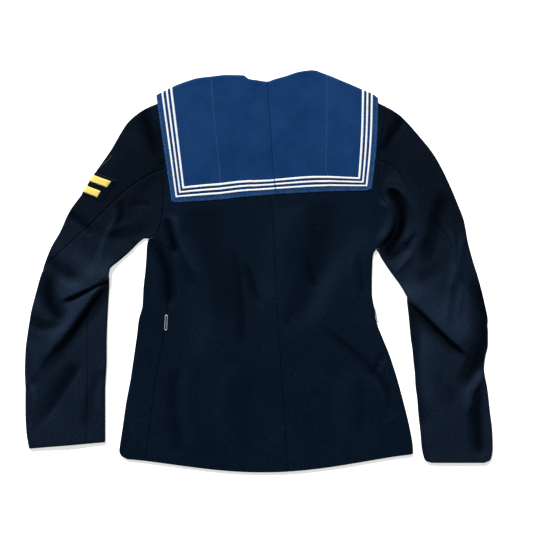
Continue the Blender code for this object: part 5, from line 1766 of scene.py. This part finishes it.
def plain_material(name, colour, roughness):
    """Thread or floor with a faint mottle."""
    nodes = Nodes(name)
    patches = nodes.noise(scale=400.0, detail=2.0, roughness=0.5)
    low = tuple(channel * MOTTLE_SHARE for channel in colour)
    shade = nodes.ramp(patches, low, colour, start=0.3, end=0.7)
    nodes.link(shade, nodes.shader.inputs["Base Color"])
    nodes.shader.inputs["Roughness"].default_value = roughness
    return nodes.material


SERGE = serge_material("serge", SERGE_LOW, SERGE_HIGH)
# painted sheen: the same serge in lighter colours, paler below the elbow
SLEEVE_SERGE_SHEEN = serge_material("sleeve_serge_sheen", SLEEVE_SHEEN_LOW, SLEEVE_SHEEN_HIGH, SHOULDER_SHEEN_SHARE)
COLLAR_COTTON = cotton_material()
WHITE_TAPE = tape_material()
# the badge's ground takes the sleeves' painted-sheen colours
BADGE_CLOTH = serge_material("badge_cloth", SLEEVE_SHEEN_LOW, SLEEVE_SHEEN_HIGH, SHOULDER_SHEEN_SHARE)
YELLOW_BRAID = braid_material()
HOOK_WIRE = wire_material()
NAVY_THREAD = plain_material("navy_thread", NAVY, roughness=0.7)
LILAC_THREAD = plain_material("lilac_thread", LILAC, roughness=0.7)
DIM_THREAD = plain_material("dim_thread", DIM, roughness=0.8)


# Stage: lengths are in metres

FLOOR_HALF = 3.0
FLOOR_DROP = 0.0002
FLOOR_COLOUR = (0.93, 0.93, 0.93)
FLOOR_GLOW = 0.64
WHITE = (1.0, 1.0, 1.0, 1.0)
SKY_COLOUR = (0.95, 0.97, 1.0, 1.0)
SKY_STRENGTH = 0.13
SUN_SPREAD = 16.0          # degrees
SUN_STRENGTH = 6.4
SUN_WAY = (0.36, -1.0, -0.80)
SENSOR = 36.0              # millimetres


def make_stage():
    """Plain pale floor, soft light from the neck's side, camera above."""
    floor_mesh = bpy.data.meshes.new("floor")
    corners = [(-1, -1), (1, -1), (1, 1), (-1, 1)]
    points = [(x * FLOOR_HALF, y * FLOOR_HALF, 0) for x, y in corners]
    floor_mesh.from_pydata(points, [], [(0, 1, 2, 3)])
    floor_material = plain_material("floor", FLOOR_COLOUR, roughness=0.9)
    floor_shader = floor_material.node_tree.nodes["Principled BSDF"]
    floor_shader.inputs["Emission Color"].default_value = WHITE
    floor_shader.inputs["Emission Strength"].default_value = FLOOR_GLOW
    floor_mesh.materials.append(floor_material)
    floor = bpy.data.objects.new("floor", floor_mesh)
    floor.location.z = -FLOOR_DROP
    bpy.context.scene.collection.objects.link(floor)
    world = bpy.data.worlds.new("studio")
    bpy.context.scene.world = world
    world.use_nodes = True
    background = world.node_tree.nodes["Background"]
    background.inputs["Color"].default_value = SKY_COLOUR
    background.inputs["Strength"].default_value = SKY_STRENGTH
    lamp_data = bpy.data.lights.new("softbox", "SUN")
    lamp_data.angle = math.radians(SUN_SPREAD)
    lamp_data.energy = SUN_STRENGTH
    lamp = bpy.data.objects.new("softbox", lamp_data)
    lamp.rotation_euler = Vector(SUN_WAY).to_track_quat("-Z", "Y").to_euler()
    bpy.context.scene.collection.objects.link(lamp)
    bpy.context.scene.view_settings.view_transform = "Standard"
    camera_data = bpy.data.cameras.new("camera")
    camera_data.sensor_width = SENSOR
    camera_data.lens = SENSOR * (CAMERA_HEIGHT - LAID_HEIGHT * MM) / (VIEW_WIDTH * MM)
    camera = bpy.data.objects.new("camera", camera_data)
    camera.location = (VIEW_CENTRE[0] * MM, VIEW_CENTRE[1] * MM, CAMERA_HEIGHT)
    bpy.context.scene.collection.objects.link(camera)
    bpy.context.scene.camera = camera


make_backs()
make_front_left()
make_front_right()
make_sleeves()
make_collar()
make_tapes()
make_under_tapes()
collar_stitches()
make_badge()
badge_threads()
make_hooks()
make_stage()
